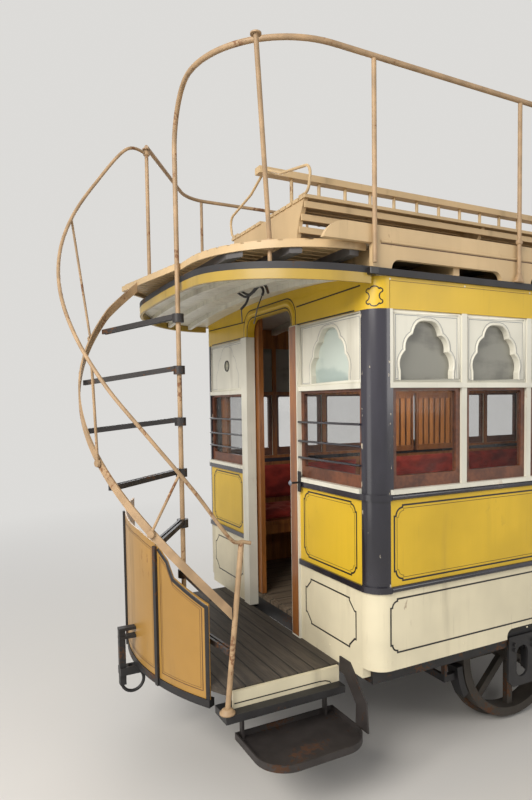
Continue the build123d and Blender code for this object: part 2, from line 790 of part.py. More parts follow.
# Canopies: the cambered hood of each platform with its ribs
with BuildPart() as canopies:
    with BuildSketch(Plane.YZ.offset(END_X - FIT)):
        add(camber_section(HALF_W - FIT, ROOF_Z, ROOF_Z + ROOF_T))
    extrude(amount=-CANOPY_OUT)
    for i in range(3):
        with BuildSketch(Plane.YZ.offset(END_X - 130 - 170 * i)):
            add(camber_section(HALF_W - 60, ROOF_Z - 26, ROOF_Z + 6))
        extrude(amount=-26)
    with BuildSketch(Plane.XY.offset(ROOF_Z - 100)):
        add(end_outline(HALF_W - 12 - FASCIA_T - FIT, CANOPY_OUT - FASCIA_T - FIT, CANOPY_R))
    extrude(amount=400, mode=Mode.INTERSECT)
    add(turned(canopies.part))
finish(canopies, "canopies")


def cambered_rim(half_w, out, corner_r, thick, low, high):
    """A band that follows an end outline, with its edges on the roof's camber."""
    with BuildPart() as rim:
        with BuildSketch(Plane.YZ.offset(END_X - FIT)):
            add(camber_section(HALF_W + 60, low, high))
        extrude(amount=-out)
        with BuildSketch(Plane.XY.offset(low - 50)):
            add(end_outline(half_w, out, corner_r))
        extrude(amount=500, mode=Mode.INTERSECT)
        with BuildSketch(Plane.XY.offset(low - 50)):
            add(end_outline(half_w - thick, out - thick, corner_r - thick))
        extrude(amount=500, mode=Mode.SUBTRACT)
    return rim.part


with BuildPart() as canopy_fascias:
    add(cambered_rim(HALF_W - 12, CANOPY_OUT, CANOPY_R, FASCIA_T, ROOF_Z - FASCIA_H + 2, ROOF_Z))
    add(turned(canopy_fascias.part))
finish(canopy_fascias, "canopy_fascias")

# Black bead along the roof's edge: straight on the sides, bowed round the canopies
with BuildPart() as roof_bead:
    add(cambered_rim(HALF_W - 12, CANOPY_OUT, CANOPY_R, FASCIA_T, ROOF_Z + FIT, ROOF_Z + BEAD_H))
    add(turned(roof_bead.part))
    for side in (-1, 1):
        block(
            (END_X, -END_X),
            (side * HALF_W, side * (HALF_W + 14)),
            (ROOF_Z, ROOF_Z + BEAD_H),
        )
finish(roof_bead, "roof_bead")

# Upper deck: boards on cross bearers
JOIST_W = 40
joist_x = [END_X + 60 + i * (2 * HALF_L - 120) / 8 for i in range(9)]
with BuildPart() as deck_bearers:
    for x in joist_x:
        with BuildSketch(Plane.YZ.offset(x - JOIST_W / 2)):
            with Locations((0, (ROOF_Z + DECK_Z - SLAT_T) / 2)):
                Rectangle(2 * DECK_HALF_W, DECK_Z - SLAT_T - ROOF_Z - 2 * FIT)
            add(camber_section(HALF_W, ROOF_Z - 200, ROOF_Z + ROOF_T + FIT), mode=Mode.SUBTRACT)
        extrude(amount=JOIST_W)
finish(deck_bearers, "deck_bearers")

with BuildPart() as deck_floor:
    block((END_X, -END_X), (-DECK_HALF_W, DECK_HALF_W), (DECK_Z - SLAT_T, DECK_Z))
finish(deck_floor, "deck_floor")


# Plan of a landing: round at the entrance side, a radial nosing where the stair arrives
LANDING_CUT_X = 230
NOSING_R = 727
NOSING_A = tread_angle(0)


def landing_outline(inset):
    """Plan of a landing at end a, drawn in from its edge."""
    half_w = LANDING_HALF_W - inset
    out = LANDING_OUT - inset
    corner_r = LANDING_R - inset
    with BuildSketch() as plan:
        with BuildLine():
            near = Line((END_X - FIT, -half_w), (END_X - out + corner_r, -half_w))
            corner = RadiusArc(near @ 1, (END_X - out, -half_w + corner_r), corner_r)
            a = radians(NOSING_A)
            nosing = [
                Vector(POLE_X + r * cos(a) + inset * sin(a), POLE_Y + r * sin(a) - inset * cos(a))
                for r in (24, NOSING_R - 1.3 * inset)
            ]
            Polyline(
                corner @ 1,
                (END_X - out, nosing[0].Y),
                nosing[0],
                nosing[1],
                (END_X - LANDING_CUT_X + 0.6 * inset, half_w),
                (END_X - FIT, half_w),
                near @ 0,
            )
        make_face()
        with Locations((POLE_X, POLE_Y)):
            Circle(RAIL_TUBE_R + FIT, mode=Mode.SUBTRACT)
    return plan.sketch


slat_count = int(2 * LANDING_HALF_W / SLAT_PITCH) + 1
with BuildPart() as landings:
    for i in range(slat_count):
        y = -LANDING_HALF_W + SLAT_W / 2 + i * SLAT_PITCH
        block((END_X - 900, END_X - FIT), (y - SLAT_W / 2, y + SLAT_W / 2), (DECK_Z - SLAT_T, DECK_Z))
    for x in (END_X - 60, END_X - 330, END_X - 545):
        block((x - 25, x + 25), (-LANDING_HALF_W, LANDING_HALF_W), (DECK_Z - SLAT_T - 45, DECK_Z - SLAT_T))
    with BuildSketch(Plane.XY.offset(DECK_Z - 150)):
        add(landing_outline(12))
    extrude(amount=400, mode=Mode.INTERSECT)
    add(turned(landings.part))
finish(landings, "landings")

with BuildPart() as landing_edges:
    with BuildSketch(Plane.XY.offset(DECK_Z - SLAT_T - LANDING_EDGE_H)):
        add(landing_outline(0))
    extrude(amount=LANDING_EDGE_H + SLAT_T / 2)
    with BuildSketch(Plane.XY.offset(DECK_Z - SLAT_T - LANDING_EDGE_H - 10)):
        add(landing_outline(12 - FIT))
        with Locations((END_X, 0)):
            Rectangle(60, 2 * LANDING_HALF_W - 24)
    extrude(amount=LANDING_EDGE_H + 60, mode=Mode.SUBTRACT)
    add(turned(landing_edges.part))
finish(landing_edges, "landing_edges")

# Side boards of the upper deck, with water-way cut-outs between the posts
CUT_H = 45
CUT_END = 110
post_x = (END_X,) + tuple(-x for x in POST_STATIONS) + (-END_X,)
with BuildPart() as side_boards:
    block((END_X, -END_X), (-HALF_W, -HALF_W + BOARD_T), (ROOF_Z + BEAD_H + 3, SIDE_SPLIT_Z - FIT / 2))
    for a, b in zip(post_x, post_x[1:]):
        with BuildSketch(Plane.XZ.offset(HALF_W + 20)):
            with Locations(((a + b) / 2, ROOF_Z + BEAD_H + 3)):
                SlotOverall(abs(b - a) - 2 * CUT_END, 2 * CUT_H)
        extrude(amount=-60, mode=Mode.SUBTRACT)
    with BuildSketch(Plane.XZ.offset(HALF_W)):
        with BuildLine():
            ends = 265
            rise = SIDE_TOP_Z - SIDE_SPLIT_Z - FIT / 2
            base = SIDE_SPLIT_Z + FIT / 2
            left = RadiusArc(
                (END_X - ends, base), (END_X - ends + 1.6 * rise, base + rise), 1.6 * rise
            )
            top = Line(left @ 1, (-END_X + ends - 1.6 * rise, base + rise))
            right = RadiusArc(top @ 1, (-END_X + ends, base), 1.6 * rise)
            Line(right @ 1, left @ 0)
        make_face()
    extrude(amount=-BOARD_T)
    mirror(about=Plane.XZ)
finish(side_boards, "side_boards")

# Knifeboard bench along the middle of the deck: trestle ends, slats, back rails
BENCH_HALF = HALF_L - 5
SEAT_SLAT_T = 18
SIDE_SLATS = 6
SIDE_SLAT_H = 34
SIDE_SLAT_T = 12
FLARE = ((0.0, 0.0), (0.35, 0.12), (0.7, 0.46), (1.0, 1.0))
bench_h = SEAT_Z - SEAT_SLAT_T - DECK_Z


def bench_half_w(rise):
    """Half width of the bench's ends at a height over the deck: they flare towards the seat."""
    t = rise / bench_h
    for (t0, f0), (t1, f1) in zip(FLARE, FLARE[1:]):
        if t <= t1:
            f = f0 + (f1 - f0) * (t - t0) / (t1 - t0)
            return SEAT_FOOT_HALF_W + f * (SEAT_TOP_HALF_W - SEAT_FOOT_HALF_W)
    return SEAT_TOP_HALF_W


with BuildPart() as bench_ends:
    for x in (-BENCH_HALF, -BENCH_HALF / 3, BENCH_HALF / 3, BENCH_HALF):
        with BuildSketch(Plane.YZ.offset(x - 13)):
            with BuildLine():
                rim = [(bench_half_w(t * bench_h), t) for t, f in FLARE]
                low, span = DECK_Z + FIT, bench_h - 2 * FIT
                right = [(y, low + t * span) for y, t in rim]
                left = [(-y, low + t * span) for y, t in reversed(rim)]
                Polyline(*right, *left, close=True)
            make_face()
        extrude(amount=26)
finish(bench_ends, "bench_ends")

seat_slats = 6
with BuildPart() as bench_slats:
    for side in (-1, 1):
        for i in range(seat_slats):
            y = side * (SEAT_HALF_W - 32 - i * 74)
            block(
                (-BENCH_HALF - 20, BENCH_HALF + 20),
                (y - 30, y + 30),
                (SEAT_Z - SEAT_SLAT_T, SEAT_Z),
            )
        for i in range(SIDE_SLATS):
            rise = bench_h * (i + 0.5) / SIDE_SLATS
            inside = bench_half_w(rise + SIDE_SLAT_H / 2) + FIT
            z = DECK_Z + rise
            block(
                (-BENCH_HALF - 10, BENCH_HALF + 10),
                (side * inside, side * (inside + SIDE_SLAT_T)),
                (z - SIDE_SLAT_H / 2, z + SIDE_SLAT_H / 2),
            )
finish(bench_slats, "bench_slats")

SPINDLE_PITCH = 200
ARM_R = 8
spindles = int(2 * (BENCH_HALF - 120) / SPINDLE_PITCH)
with BuildPart() as bench_backs:
    block((-BENCH_HALF - 60, BENCH_HALF + 60), (-32, 32), (BACK_Z - 40, BACK_Z))
    for i in range(spindles + 1):
        x = (i - spindles / 2) * SPINDLE_PITCH
        with BuildSketch(Plane.XY.offset(SEAT_Z + FIT)):
            with Locations((x, 0)):
                Circle(11)
        extrude(amount=BACK_Z - 40 - SEAT_Z - FIT)
    for x in (END_X - 2, -END_X + 2):
        for side in (-1, 1):
            route = (
                (x, side * 30, BACK_Z - 20),
                (x, side * 200, BACK_Z - 96),
                (x, side * (SEAT_HALF_W + 45), BACK_Z - 158),
                (x, side * (SEAT_HALF_W + 12), SEAT_Z + ARM_R + FIT),
                (x, side * (SEAT_HALF_W - 80), SEAT_Z + ARM_R + FIT),
            )
            add(tube(route, ARM_R, (150, 55, 45)))
finish(bench_backs, "bench_backs")

# Guard rails: each runs along one side, round one end and down as that end's stair pole
LAST_POST = (END_X - 647, 297)
with BuildPart() as guard_rails:
    route = (
        (-LAST_POST[0], -LAST_POST[1], GUARD_Z),
        (-END_X + 120, -GUARD_HALF_W, GUARD_Z),
        (END_X - GUARD_OUT, -GUARD_HALF_W, GUARD_Z),
        (POLE_X, POLE_Y, GUARD_Z),
        (POLE_X, POLE_Y, PLATFORM_Z + FIT),
    )
    add(tube(route, RAIL_TUBE_R, (300, GUARD_R, POLE_BEND_R)))
    add(turned(guard_rails.part))
finish(guard_rails, "guard_rails")

# Posts of the guard rails
CORNER_FOOT = (END_X - 416, -LANDING_HALF_W + 171)
CORNER_TOP = (END_X - 558, -GUARD_HALF_W + 61)
FOOT_R = 24
STUB_R = 10
STUB_H = 82
with BuildPart() as rail_posts:
    for x in post_x:
        with BuildSketch(Plane.XY.offset(ROOF_Z + BEAD_H + 20)):
            with Locations((x, -GUARD_HALF_W)):
                Circle(POST_TUBE_R)
        extrude(amount=GUARD_Z - RAIL_TUBE_R - ROOF_Z - BEAD_H - 20 - FIT)
    mirror(about=Plane.XZ)
    for foot, top in ((LAST_POST, LAST_POST), (CORNER_FOOT, CORNER_TOP)):
        post = bar((*foot, DECK_Z + 5), (*top, GUARD_Z - RAIL_TUBE_R - 5), POST_TUBE_R)
        with BuildPart() as flanges:
            with Locations((*foot, DECK_Z + FIT), (*top, GUARD_Z - RAIL_TUBE_R - FIT - 6)):
                Cylinder(FOOT_R, 6, align=(Align.CENTER, Align.CENTER, Align.MIN))
        for piece in (post, flanges.part):
            add(piece)
            add(turned(piece))
    with BuildPart() as stub:
        with Locations((*CORNER_FOOT, DECK_Z - SLAT_T - FIT)):
            Cylinder(FOOT_R, 22, align=(Align.CENTER, Align.CENTER, Align.MAX))
            Cylinder(STUB_R, STUB_H, align=(Align.CENTER, Align.CENTER, Align.MAX))
    add(stub.part)
    add(turned(stub.part))
finish(rail_posts, "rail_posts")

# Spiral stair: what the stair keeps between nosing and nosing are its rungs, each a pair
# of flat bars from a collar on the pole to the stringer
RUNG_W = 12
RUNG_GAP = 10
RUNG_H = 25
RUNG_DROPS = (50, 70, 45, 30, 0, 0, 0)
COLLAR_R = 30
COLLAR_H = 44
FOOT_RUNG_A = -84
STRINGER_SPANS = 12
STRINGER_FOOT_A = -83.8
FLAT_A = -238
FLAT_SLOPE = 0.78
NEWEL_FOOT_Z = PLATFORM_Z - EDGE_H - 8 + FIT
NEWEL_TOP_Z = 1304
newel_r = STAIR_R + STRINGER_T / 2
newel_foot = on_stair(newel_r, -87.3, NEWEL_FOOT_Z)
newel_top = on_stair(newel_r, -76.7, NEWEL_TOP_Z)
stringer_end_a = tread_angle(0) + degrees(FIT / STAIR_R)
stringer_step = (stringer_end_a - STRINGER_FOOT_A) / STRINGER_SPANS


def rung(number):
    """The two bars of a rung, longer than the stair's radius."""
    angle = tread_angle(number) if number < TREADS else FOOT_RUNG_A
    z = tread_z(number) - RUNG_H / 2
    start = Vector(*on_stair(RAIL_TUBE_R + 2, angle, z))
    end = Vector(*on_stair(STAIR_R, angle, z - RUNG_DROPS[number - 1]))
    across = Vector(-sin(radians(angle)), cos(radians(angle)), 0)
    with BuildPart() as bars:
        with BuildSketch(Plane(origin=start, x_dir=across, z_dir=end - start)):
            for side in (-1, 1):
                with Locations((side * (RUNG_W + RUNG_GAP) / 2, 0)):
                    Rectangle(RUNG_W, RUNG_H)
        extrude(amount=(end - start).length + 8)
    return bars.part


with BuildPart() as treads:
    for number in range(1, TREADS + 1):
        add(rung(number))
    with BuildSketch(Plane.XY.offset(PLATFORM_Z)):
        with BuildLine():
            count = int(360 / abs(stringer_step))
            ring = [
                on_stair(STAIR_R - FIT, STRINGER_FOOT_A + stringer_step * i, 0)[:2]
                for i in range(count)
            ]
            Polyline(*ring, close=True)
        make_face()
    extrude(amount=DECK_Z - PLATFORM_Z, mode=Mode.INTERSECT)
    for number in range(1, TREADS + 1):
        with Locations((POLE_X, POLE_Y, tread_z(number) - COLLAR_H / 2)):
            Cylinder(COLLAR_R, COLLAR_H)
    with Locations((POLE_X, POLE_Y, (PLATFORM_Z + DECK_Z) / 2)):
        Cylinder(RAIL_TUBE_R + FIT, DECK_Z - PLATFORM_Z, mode=Mode.SUBTRACT)
    add(bar(newel_foot, newel_top, NEWEL_R + FIT), mode=Mode.SUBTRACT)
    add(turned(treads.part))
finish(treads, "treads")


def stringer_z(angle):
    """Middle of the stringer: along the nosings, flatter where it meets the landing."""
    slope = RISE / TREAD_STEP
    line = DECK_Z - (angle - tread_angle(0)) * slope
    if angle < FLAT_A:
        line -= (FLAT_A - angle) * slope * (1 - FLAT_SLOPE)
    return line


# Stringer: a flat band that winds up outside the treads
with BuildPart() as stringers:
    for i in range(STRINGER_SPANS + 1):
        angle = STRINGER_FOOT_A + stringer_step * i
        a = radians(angle)
        at = on_stair(STAIR_R + STRINGER_T / 2, angle, stringer_z(angle))
        with BuildSketch(Plane(origin=at, x_dir=(cos(a), sin(a), 0), z_dir=(sin(a), -cos(a), 0))):
            Rectangle(STRINGER_T, STRINGER_H)
    loft(ruled=True)
    add(turned(stringers.part))
finish(stringers, "stringers")

# Handrail over the stringer, its leaning newel and its balusters
NEWEL_A = -84
RAIL_FOOT_Z = 1328
RAIL_LUG_A = -72
HANDRAIL_END_A = -258
HANDRAIL_SPANS = 9
BALUSTER_R = 6.5
BOSS_R = 20
BOSS_T = 10
FLANGE_R = 37
BALUSTERS = ((-125, -110), (-157, -150), (-222, -218))


def handrail_point(angle):
    """A point of the handrail: it spreads outwards and rises away from the stringer."""
    t = (angle - NEWEL_A) / (HANDRAIL_END_A - NEWEL_A)
    spread = HANDRAIL_R - newel_r
    radius = newel_r + spread * min(1, 3 * t, 5 * (1 - t) + 0.4)
    return on_stair(radius, angle, RAIL_FOOT_Z + (GUARD_Z - 60 - RAIL_FOOT_Z) * t)


with BuildPart() as handrails:
    route = [on_stair(newel_r + 18, RAIL_LUG_A, NEWEL_TOP_Z - 12), newel_top]
    route += [
        handrail_point(NEWEL_A + (HANDRAIL_END_A - NEWEL_A) * i / HANDRAIL_SPANS)
        for i in range(HANDRAIL_SPANS + 1)
    ]
    route.append((*LAST_POST, GUARD_Z - 40))
    add(tube(route, HANDRAIL_TUBE_R, 20))
    with Locations((*LAST_POST, GUARD_Z - 40)):
        Cylinder(POST_TUBE_R + 8, 2 * HANDRAIL_TUBE_R + 10)
        Cylinder(POST_TUBE_R + FIT, 100, mode=Mode.SUBTRACT)
    add(bar(newel_foot, newel_top, NEWEL_R))
    with Locations(newel_foot):
        Cylinder(FLANGE_R, 10, align=(Align.CENTER, Align.CENTER, Align.MIN))
        Cylinder(FLANGE_R - 10, 22, align=(Align.CENTER, Align.CENTER, Align.MIN))
    for foot_a, top_a in BALUSTERS:
        a = radians(foot_a)
        outside = STAIR_R + STRINGER_T + FIT
        with BuildSketch(
            Plane(origin=on_stair(outside, foot_a, stringer_z(foot_a)), z_dir=(cos(a), sin(a), 0))
        ):
            Circle(BOSS_R)
        extrude(amount=BOSS_T)
        foot = on_stair(outside + BALUSTER_R, foot_a, stringer_z(foot_a))
        add(bar(foot, handrail_point(top_a), BALUSTER_R))
    with BuildSketch(Plane.XY.offset(newel_foot[2] - 40)):
        with Locations(newel_foot[:2]):
            Circle(FLANGE_R + 20)
    extrude(amount=40, mode=Mode.SUBTRACT)
    add(turned(handrails.part))
finish(handrails, "handrails")

# Longitudinal saloon benches with soft cushions and backs
BENCH_TOP_Z = 1085
BENCH_FRONT_Y = side_in - 430
FRONT_RAIL_H = 70
BENCH_LEGS = 6
CUSHION_T = 75
CUSHION_BACK_T = 60
bench_x = (END_X + 150, -END_X - 150)
with BuildPart() as saloon_benches:
    block(bench_x, (-side_in + FIT, -BENCH_FRONT_Y), (BENCH_TOP_Z - 28, BENCH_TOP_Z))
    front_y = (-BENCH_FRONT_Y - 40, -BENCH_FRONT_Y - 20)
    block(bench_x, front_y, (BENCH_TOP_Z - 28 - FRONT_RAIL_H, BENCH_TOP_Z - 28))
    for i in range(BENCH_LEGS):
        x = bench_x[0] + 40 + (bench_x[1] - bench_x[0] - 80) * i / (BENCH_LEGS - 1)
        block((x - 20, x + 20), (front_y[0] - 10, front_y[1]), (SALOON_Z + FIT, BENCH_TOP_Z - 28))
    mirror(about=Plane.XZ)
finish(saloon_benches, "saloon_benches")

with BuildPart() as seat_cushions:
    block(
        (bench_x[0] + 5, bench_x[1] - 5),
        (-side_in + FIT, -BENCH_FRONT_Y - 25),
        (BENCH_TOP_Z + FIT, BENCH_TOP_Z + CUSHION_T),
    )
    block(
        (bench_x[0] + 5, bench_x[1] - 5),
        (-side_in + FIT, -side_in + FIT + CUSHION_BACK_T),
        (BENCH_TOP_Z + CUSHION_T + FIT, SILL_Z - 40),
    )
    mirror(about=Plane.XZ)
finish(seat_cushions, "seat_cushions")

# Sliding door leaves, stored open behind the end wall
light_z = (LEAF_SILL_Z, leaf_z[1] - STILE_W)
leaf_plane = Plane((LEAF_X, leaf_mid_y, 0), x_dir=(0, 1, 0), z_dir=(1, 0, 0))
with BuildPart() as door_leaf_a:
    block((LEAF_X, LEAF_X + LEAF_T), leaf_y, leaf_z)
    with BuildSketch(leaf_plane):
        with Locations((0, (light_z[0] + light_z[1]) / 2)):
            RectangleRounded(leaf_w - 2 * STILE_W, light_z[1] - light_z[0], 60)
    extrude(amount=LEAF_T, mode=Mode.SUBTRACT)
    with BuildSketch(leaf_plane):
        with Locations((0, (leaf_z[0] + LEAF_SILL_Z) / 2)):
            Rectangle(leaf_w - 2 * STILE_W, LEAF_SILL_Z - leaf_z[0] - 2 * STILE_W)
    extrude(amount=8, mode=Mode.SUBTRACT)
finish(door_leaf_a, "door_leaf_a")

with BuildPart() as door_glass_a:
    with BuildSketch(leaf_plane.offset((LEAF_T - GLASS_T) / 2)):
        with Locations((0, (light_z[0] + light_z[1]) / 2)):
            RectangleRounded(
                leaf_w - 2 * STILE_W - 2 * FIT, light_z[1] - light_z[0] - 2 * FIT, 60 - FIT
            )
    extrude(amount=GLASS_T)
finish(door_glass_a, "door_glass_a")

with BuildPart() as door_leaf_b:
    add(turned(door_leaf_a.part))
finish(door_leaf_b, "door_leaf_b")

with BuildPart() as door_glass_b:
    add(turned(door_glass_a.part))
finish(door_glass_b, "door_glass_b")


def wheelset(x):
    """An axle with two spoked wheels, their flanges towards the middle."""
    back = GAUGE_BACK / 2
    spoke = WHEEL_R - 52 - 25
    with BuildPart() as wheels:
        for radius, half in ((AXLE_R, back), (JOURNAL_R, BOX_Y[0] + JOURNAL_L)):
            with BuildSketch(Plane((x, -half, AXLE_Z), x_dir=(1, 0, 0), z_dir=(0, 1, 0))):
                Circle(radius)
            extrude(amount=2 * half)
        for side in (-1, 1):
            for start, outer, inner, width in (
                (back, WHEEL_R, WHEEL_R - 52, TYRE_W),
                (back, WHEEL_R + FLANGE, WHEEL_R - 52, 26),
                (back - 5, 95, 0, TYRE_W + 10),
            ):
                with BuildSketch(Plane((x, side * start, AXLE_Z), x_dir=(1, 0, 0), z_dir=(0, side, 0))):
                    Circle(outer)
                    if inner:
                        Circle(inner, mode=Mode.SUBTRACT)
                extrude(amount=width)
            with BuildSketch(Plane((x, side * (back + 40), AXLE_Z), x_dir=(1, 0, 0), z_dir=(0, side, 0))):
                with PolarLocations(spoke / 2 + 25, SPOKES):
                    Rectangle(spoke, 44)
            extrude(amount=34)
    return wheels.part


for name, x in (("wheelset_a", -WHEEL_X), ("wheelset_b", WHEEL_X)):
    with BuildPart() as pair:
        add(wheelset(x))
    finish(pair, name)
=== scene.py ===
# %% [markdown]
# # A double-deck horse tram
#
# A closed saloon stands between two open platforms. A spiral stair winds up outside each dash, and
# passengers sit back to back on the roof. The shapes with real sizes come in as a fixed frame. This
# script gives them their finishes, and adds the lining, the rivets, the plush and other small
# things.

# %% Load the frame
import json
import math

import bmesh
import bpy
from mathutils import Matrix, Vector

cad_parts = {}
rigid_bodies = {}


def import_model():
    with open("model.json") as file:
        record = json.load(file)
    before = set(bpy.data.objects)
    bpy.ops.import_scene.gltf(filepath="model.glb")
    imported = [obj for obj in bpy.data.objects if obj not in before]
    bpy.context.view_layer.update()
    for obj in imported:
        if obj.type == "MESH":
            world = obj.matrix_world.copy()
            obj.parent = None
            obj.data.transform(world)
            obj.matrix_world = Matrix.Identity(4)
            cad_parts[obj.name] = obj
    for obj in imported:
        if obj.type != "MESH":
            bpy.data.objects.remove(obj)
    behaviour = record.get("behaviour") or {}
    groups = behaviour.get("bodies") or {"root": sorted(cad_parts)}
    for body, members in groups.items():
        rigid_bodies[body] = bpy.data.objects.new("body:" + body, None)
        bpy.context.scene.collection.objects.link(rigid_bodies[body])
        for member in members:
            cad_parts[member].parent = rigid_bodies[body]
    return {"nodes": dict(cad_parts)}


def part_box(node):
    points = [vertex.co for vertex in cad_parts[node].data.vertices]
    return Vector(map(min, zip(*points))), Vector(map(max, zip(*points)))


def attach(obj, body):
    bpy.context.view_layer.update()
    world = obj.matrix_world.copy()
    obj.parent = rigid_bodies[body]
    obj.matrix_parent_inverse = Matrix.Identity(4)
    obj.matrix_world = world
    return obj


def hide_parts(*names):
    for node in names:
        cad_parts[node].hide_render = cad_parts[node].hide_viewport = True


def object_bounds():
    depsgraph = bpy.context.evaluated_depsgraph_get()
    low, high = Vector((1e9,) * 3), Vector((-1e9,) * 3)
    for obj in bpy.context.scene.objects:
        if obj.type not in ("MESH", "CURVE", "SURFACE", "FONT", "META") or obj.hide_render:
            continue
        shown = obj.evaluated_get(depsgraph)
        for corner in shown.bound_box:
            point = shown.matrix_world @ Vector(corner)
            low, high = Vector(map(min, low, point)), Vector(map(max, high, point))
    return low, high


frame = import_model()
nodes = frame["nodes"]
cad_box = [list(v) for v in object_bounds()]
print("frame:", len(nodes), "nodes,", [round(v, 3) for v in cad_box[0] + cad_box[1]])

# %% [markdown]
# ## Sizes shared by the pieces
#
# In metres. X runs along the tram with end a at -X, and the near side is -Y. End b is end a turned
# half round, so what belongs to an end can be made once and turned.

# %% Heights, half sizes and turns
HALF_L, HALF_W, POST_R = 1.98, 1.05, 0.098
WINDOWS, PITCH, BAY_W = 8, 0.4705, 0.4365
PLATFORM, BOARD, ROOF, DECK = 0.597, 2.379, 2.527, 2.685
LIFT = 0.0006
ENDS = SIDES = WAYS = (-1, 1)
CORNERS = [(end, side) for end in ENDS for side in SIDES]
TURNS = (Matrix.Identity(4), Matrix.Rotation(math.pi, 4, "Z"))


def bay_x(i):
    """Middle of a window, counted from end a."""
    return (i - (WINDOWS - 1) / 2) * PITCH


def polar(radius, angle):
    return radius * math.cos(angle), radius * math.sin(angle)


def ring(radius, middle, steps=24):
    turns = [polar(radius, math.tau * i / steps) for i in range(steps)]
    return [(u, middle + v) for u, v in turns]


def linked(name, data):
    thing = bpy.data.objects.new(name, data)
    bpy.context.scene.collection.objects.link(thing)
    return thing


print("windows from", bay_x(0), "to", bay_x(WINDOWS - 1))

# %% [markdown]
# ## The camera
#
# The photograph's view: from beside the platform at eye height, looking slightly down. Directions
# are the camera's own axes, and the lens shift is what an off-centre crop leaves.

# %% Camera
RIGHT = Vector((0.88932, -0.45705, -0.01497))
UP = Vector((0.03702, 0.03933, 0.99854))
FORWARD = Vector((0.45579, 0.88857, -0.05190))
EYE = Vector((-3.6968, -3.3025, 1.9462))
FOCAL_PX, SHIFT_PX, LONG_SIDE_PX, SENSOR_MM = 602.4, 34.5, 800, 36

lens = bpy.data.cameras.new("eye")
lens.sensor_width = SENSOR_MM
lens.lens = FOCAL_PX / LONG_SIDE_PX * SENSOR_MM
lens.shift_y = SHIFT_PX / LONG_SIDE_PX
camera = linked("eye", lens)
turn = Matrix((RIGHT, UP, -FORWARD)).transposed().to_4x4()
camera.matrix_world = Matrix.Translation(EYE) @ turn
bpy.context.scene.camera = camera
print("lens", round(lens.lens, 2), "mm")

# %% [markdown]
# ## Writing node trees as sums
#
# A finish is a chain of small sums on noise, height and colour. One class wraps a socket and lets
# it stand in ordinary arithmetic. Another makes every node by a single method.


# %% Socket arithmetic
class Value:
    """A socket that can be added, multiplied and compared like a number."""

    def __init__(self, tree, socket):
        self.tree = tree
        self.socket = socket

    def maths(self, operation, *terms):
        return self.tree.node("ShaderNodeMath", {"operation": operation}, dict(enumerate(terms)))

    def __rsub__(self, other):
        return self.maths("SUBTRACT", other, self)

    def __abs__(self):
        return self.maths("ABSOLUTE", self)

    def folded(self, pitch):
        """Distance from the nearest whole multiple of a pitch."""
        return self.maths("PINGPONG", self, pitch / 2)

    def step(self, low, high):
        """Rises smoothly from 0 at low to 1 at high."""
        settings = {"interpolation_type": "SMOOTHSTEP"}
        return self.tree.node("ShaderNodeMapRange", settings, {0: self, 1: low, 2: high})


def operator(operation):
    return lambda self, other: self.maths(operation, self, other)


OPERATORS = {
    "ADD": ("__add__", "__radd__"),
    "SUBTRACT": ("__sub__",),
    "MULTIPLY": ("__mul__", "__rmul__"),
    "DIVIDE": ("__truediv__",),
    "GREATER_THAN": ("__gt__",),
    "MINIMUM": ("least",),
    "MAXIMUM": ("most",),
}
for operation, names in OPERATORS.items():
    for name in names:
        setattr(Value, name, operator(operation))
print("operations on sockets:", len(OPERATORS))


# %% Trees and finishes
class Tree:
    """A node tree whose nodes are made by one method."""

    def __init__(self, tree):
        self.tree = tree
        tree.nodes.clear()

    def plug(self, value, socket):
        if isinstance(value, Value):
            self.tree.links.new(value.socket, socket)
        elif socket.type == "RGBA" and len(value) == 3:
            socket.default_value = (*value, 1)
        else:
            socket.default_value = value

    def node(self, kind, settings=None, inputs=None, out=0):
        made = self.tree.nodes.new(kind)
        for name, value in (settings or {}).items():
            setattr(made, name, value)
        for name, value in (inputs or {}).items():
            self.plug(value, made.inputs[name])
        return Value(self, made.outputs[out])

    def ray(self, kind):
        return self.node("ShaderNodeLightPath", out=f"Is {kind} Ray")

    def seen(self):
        """1 where the camera looks, straight or by way of a gloss or a pane, and 0 for light."""
        return self.ray("Camera").most(self.ray("Glossy")).most(self.ray("Transmission"))


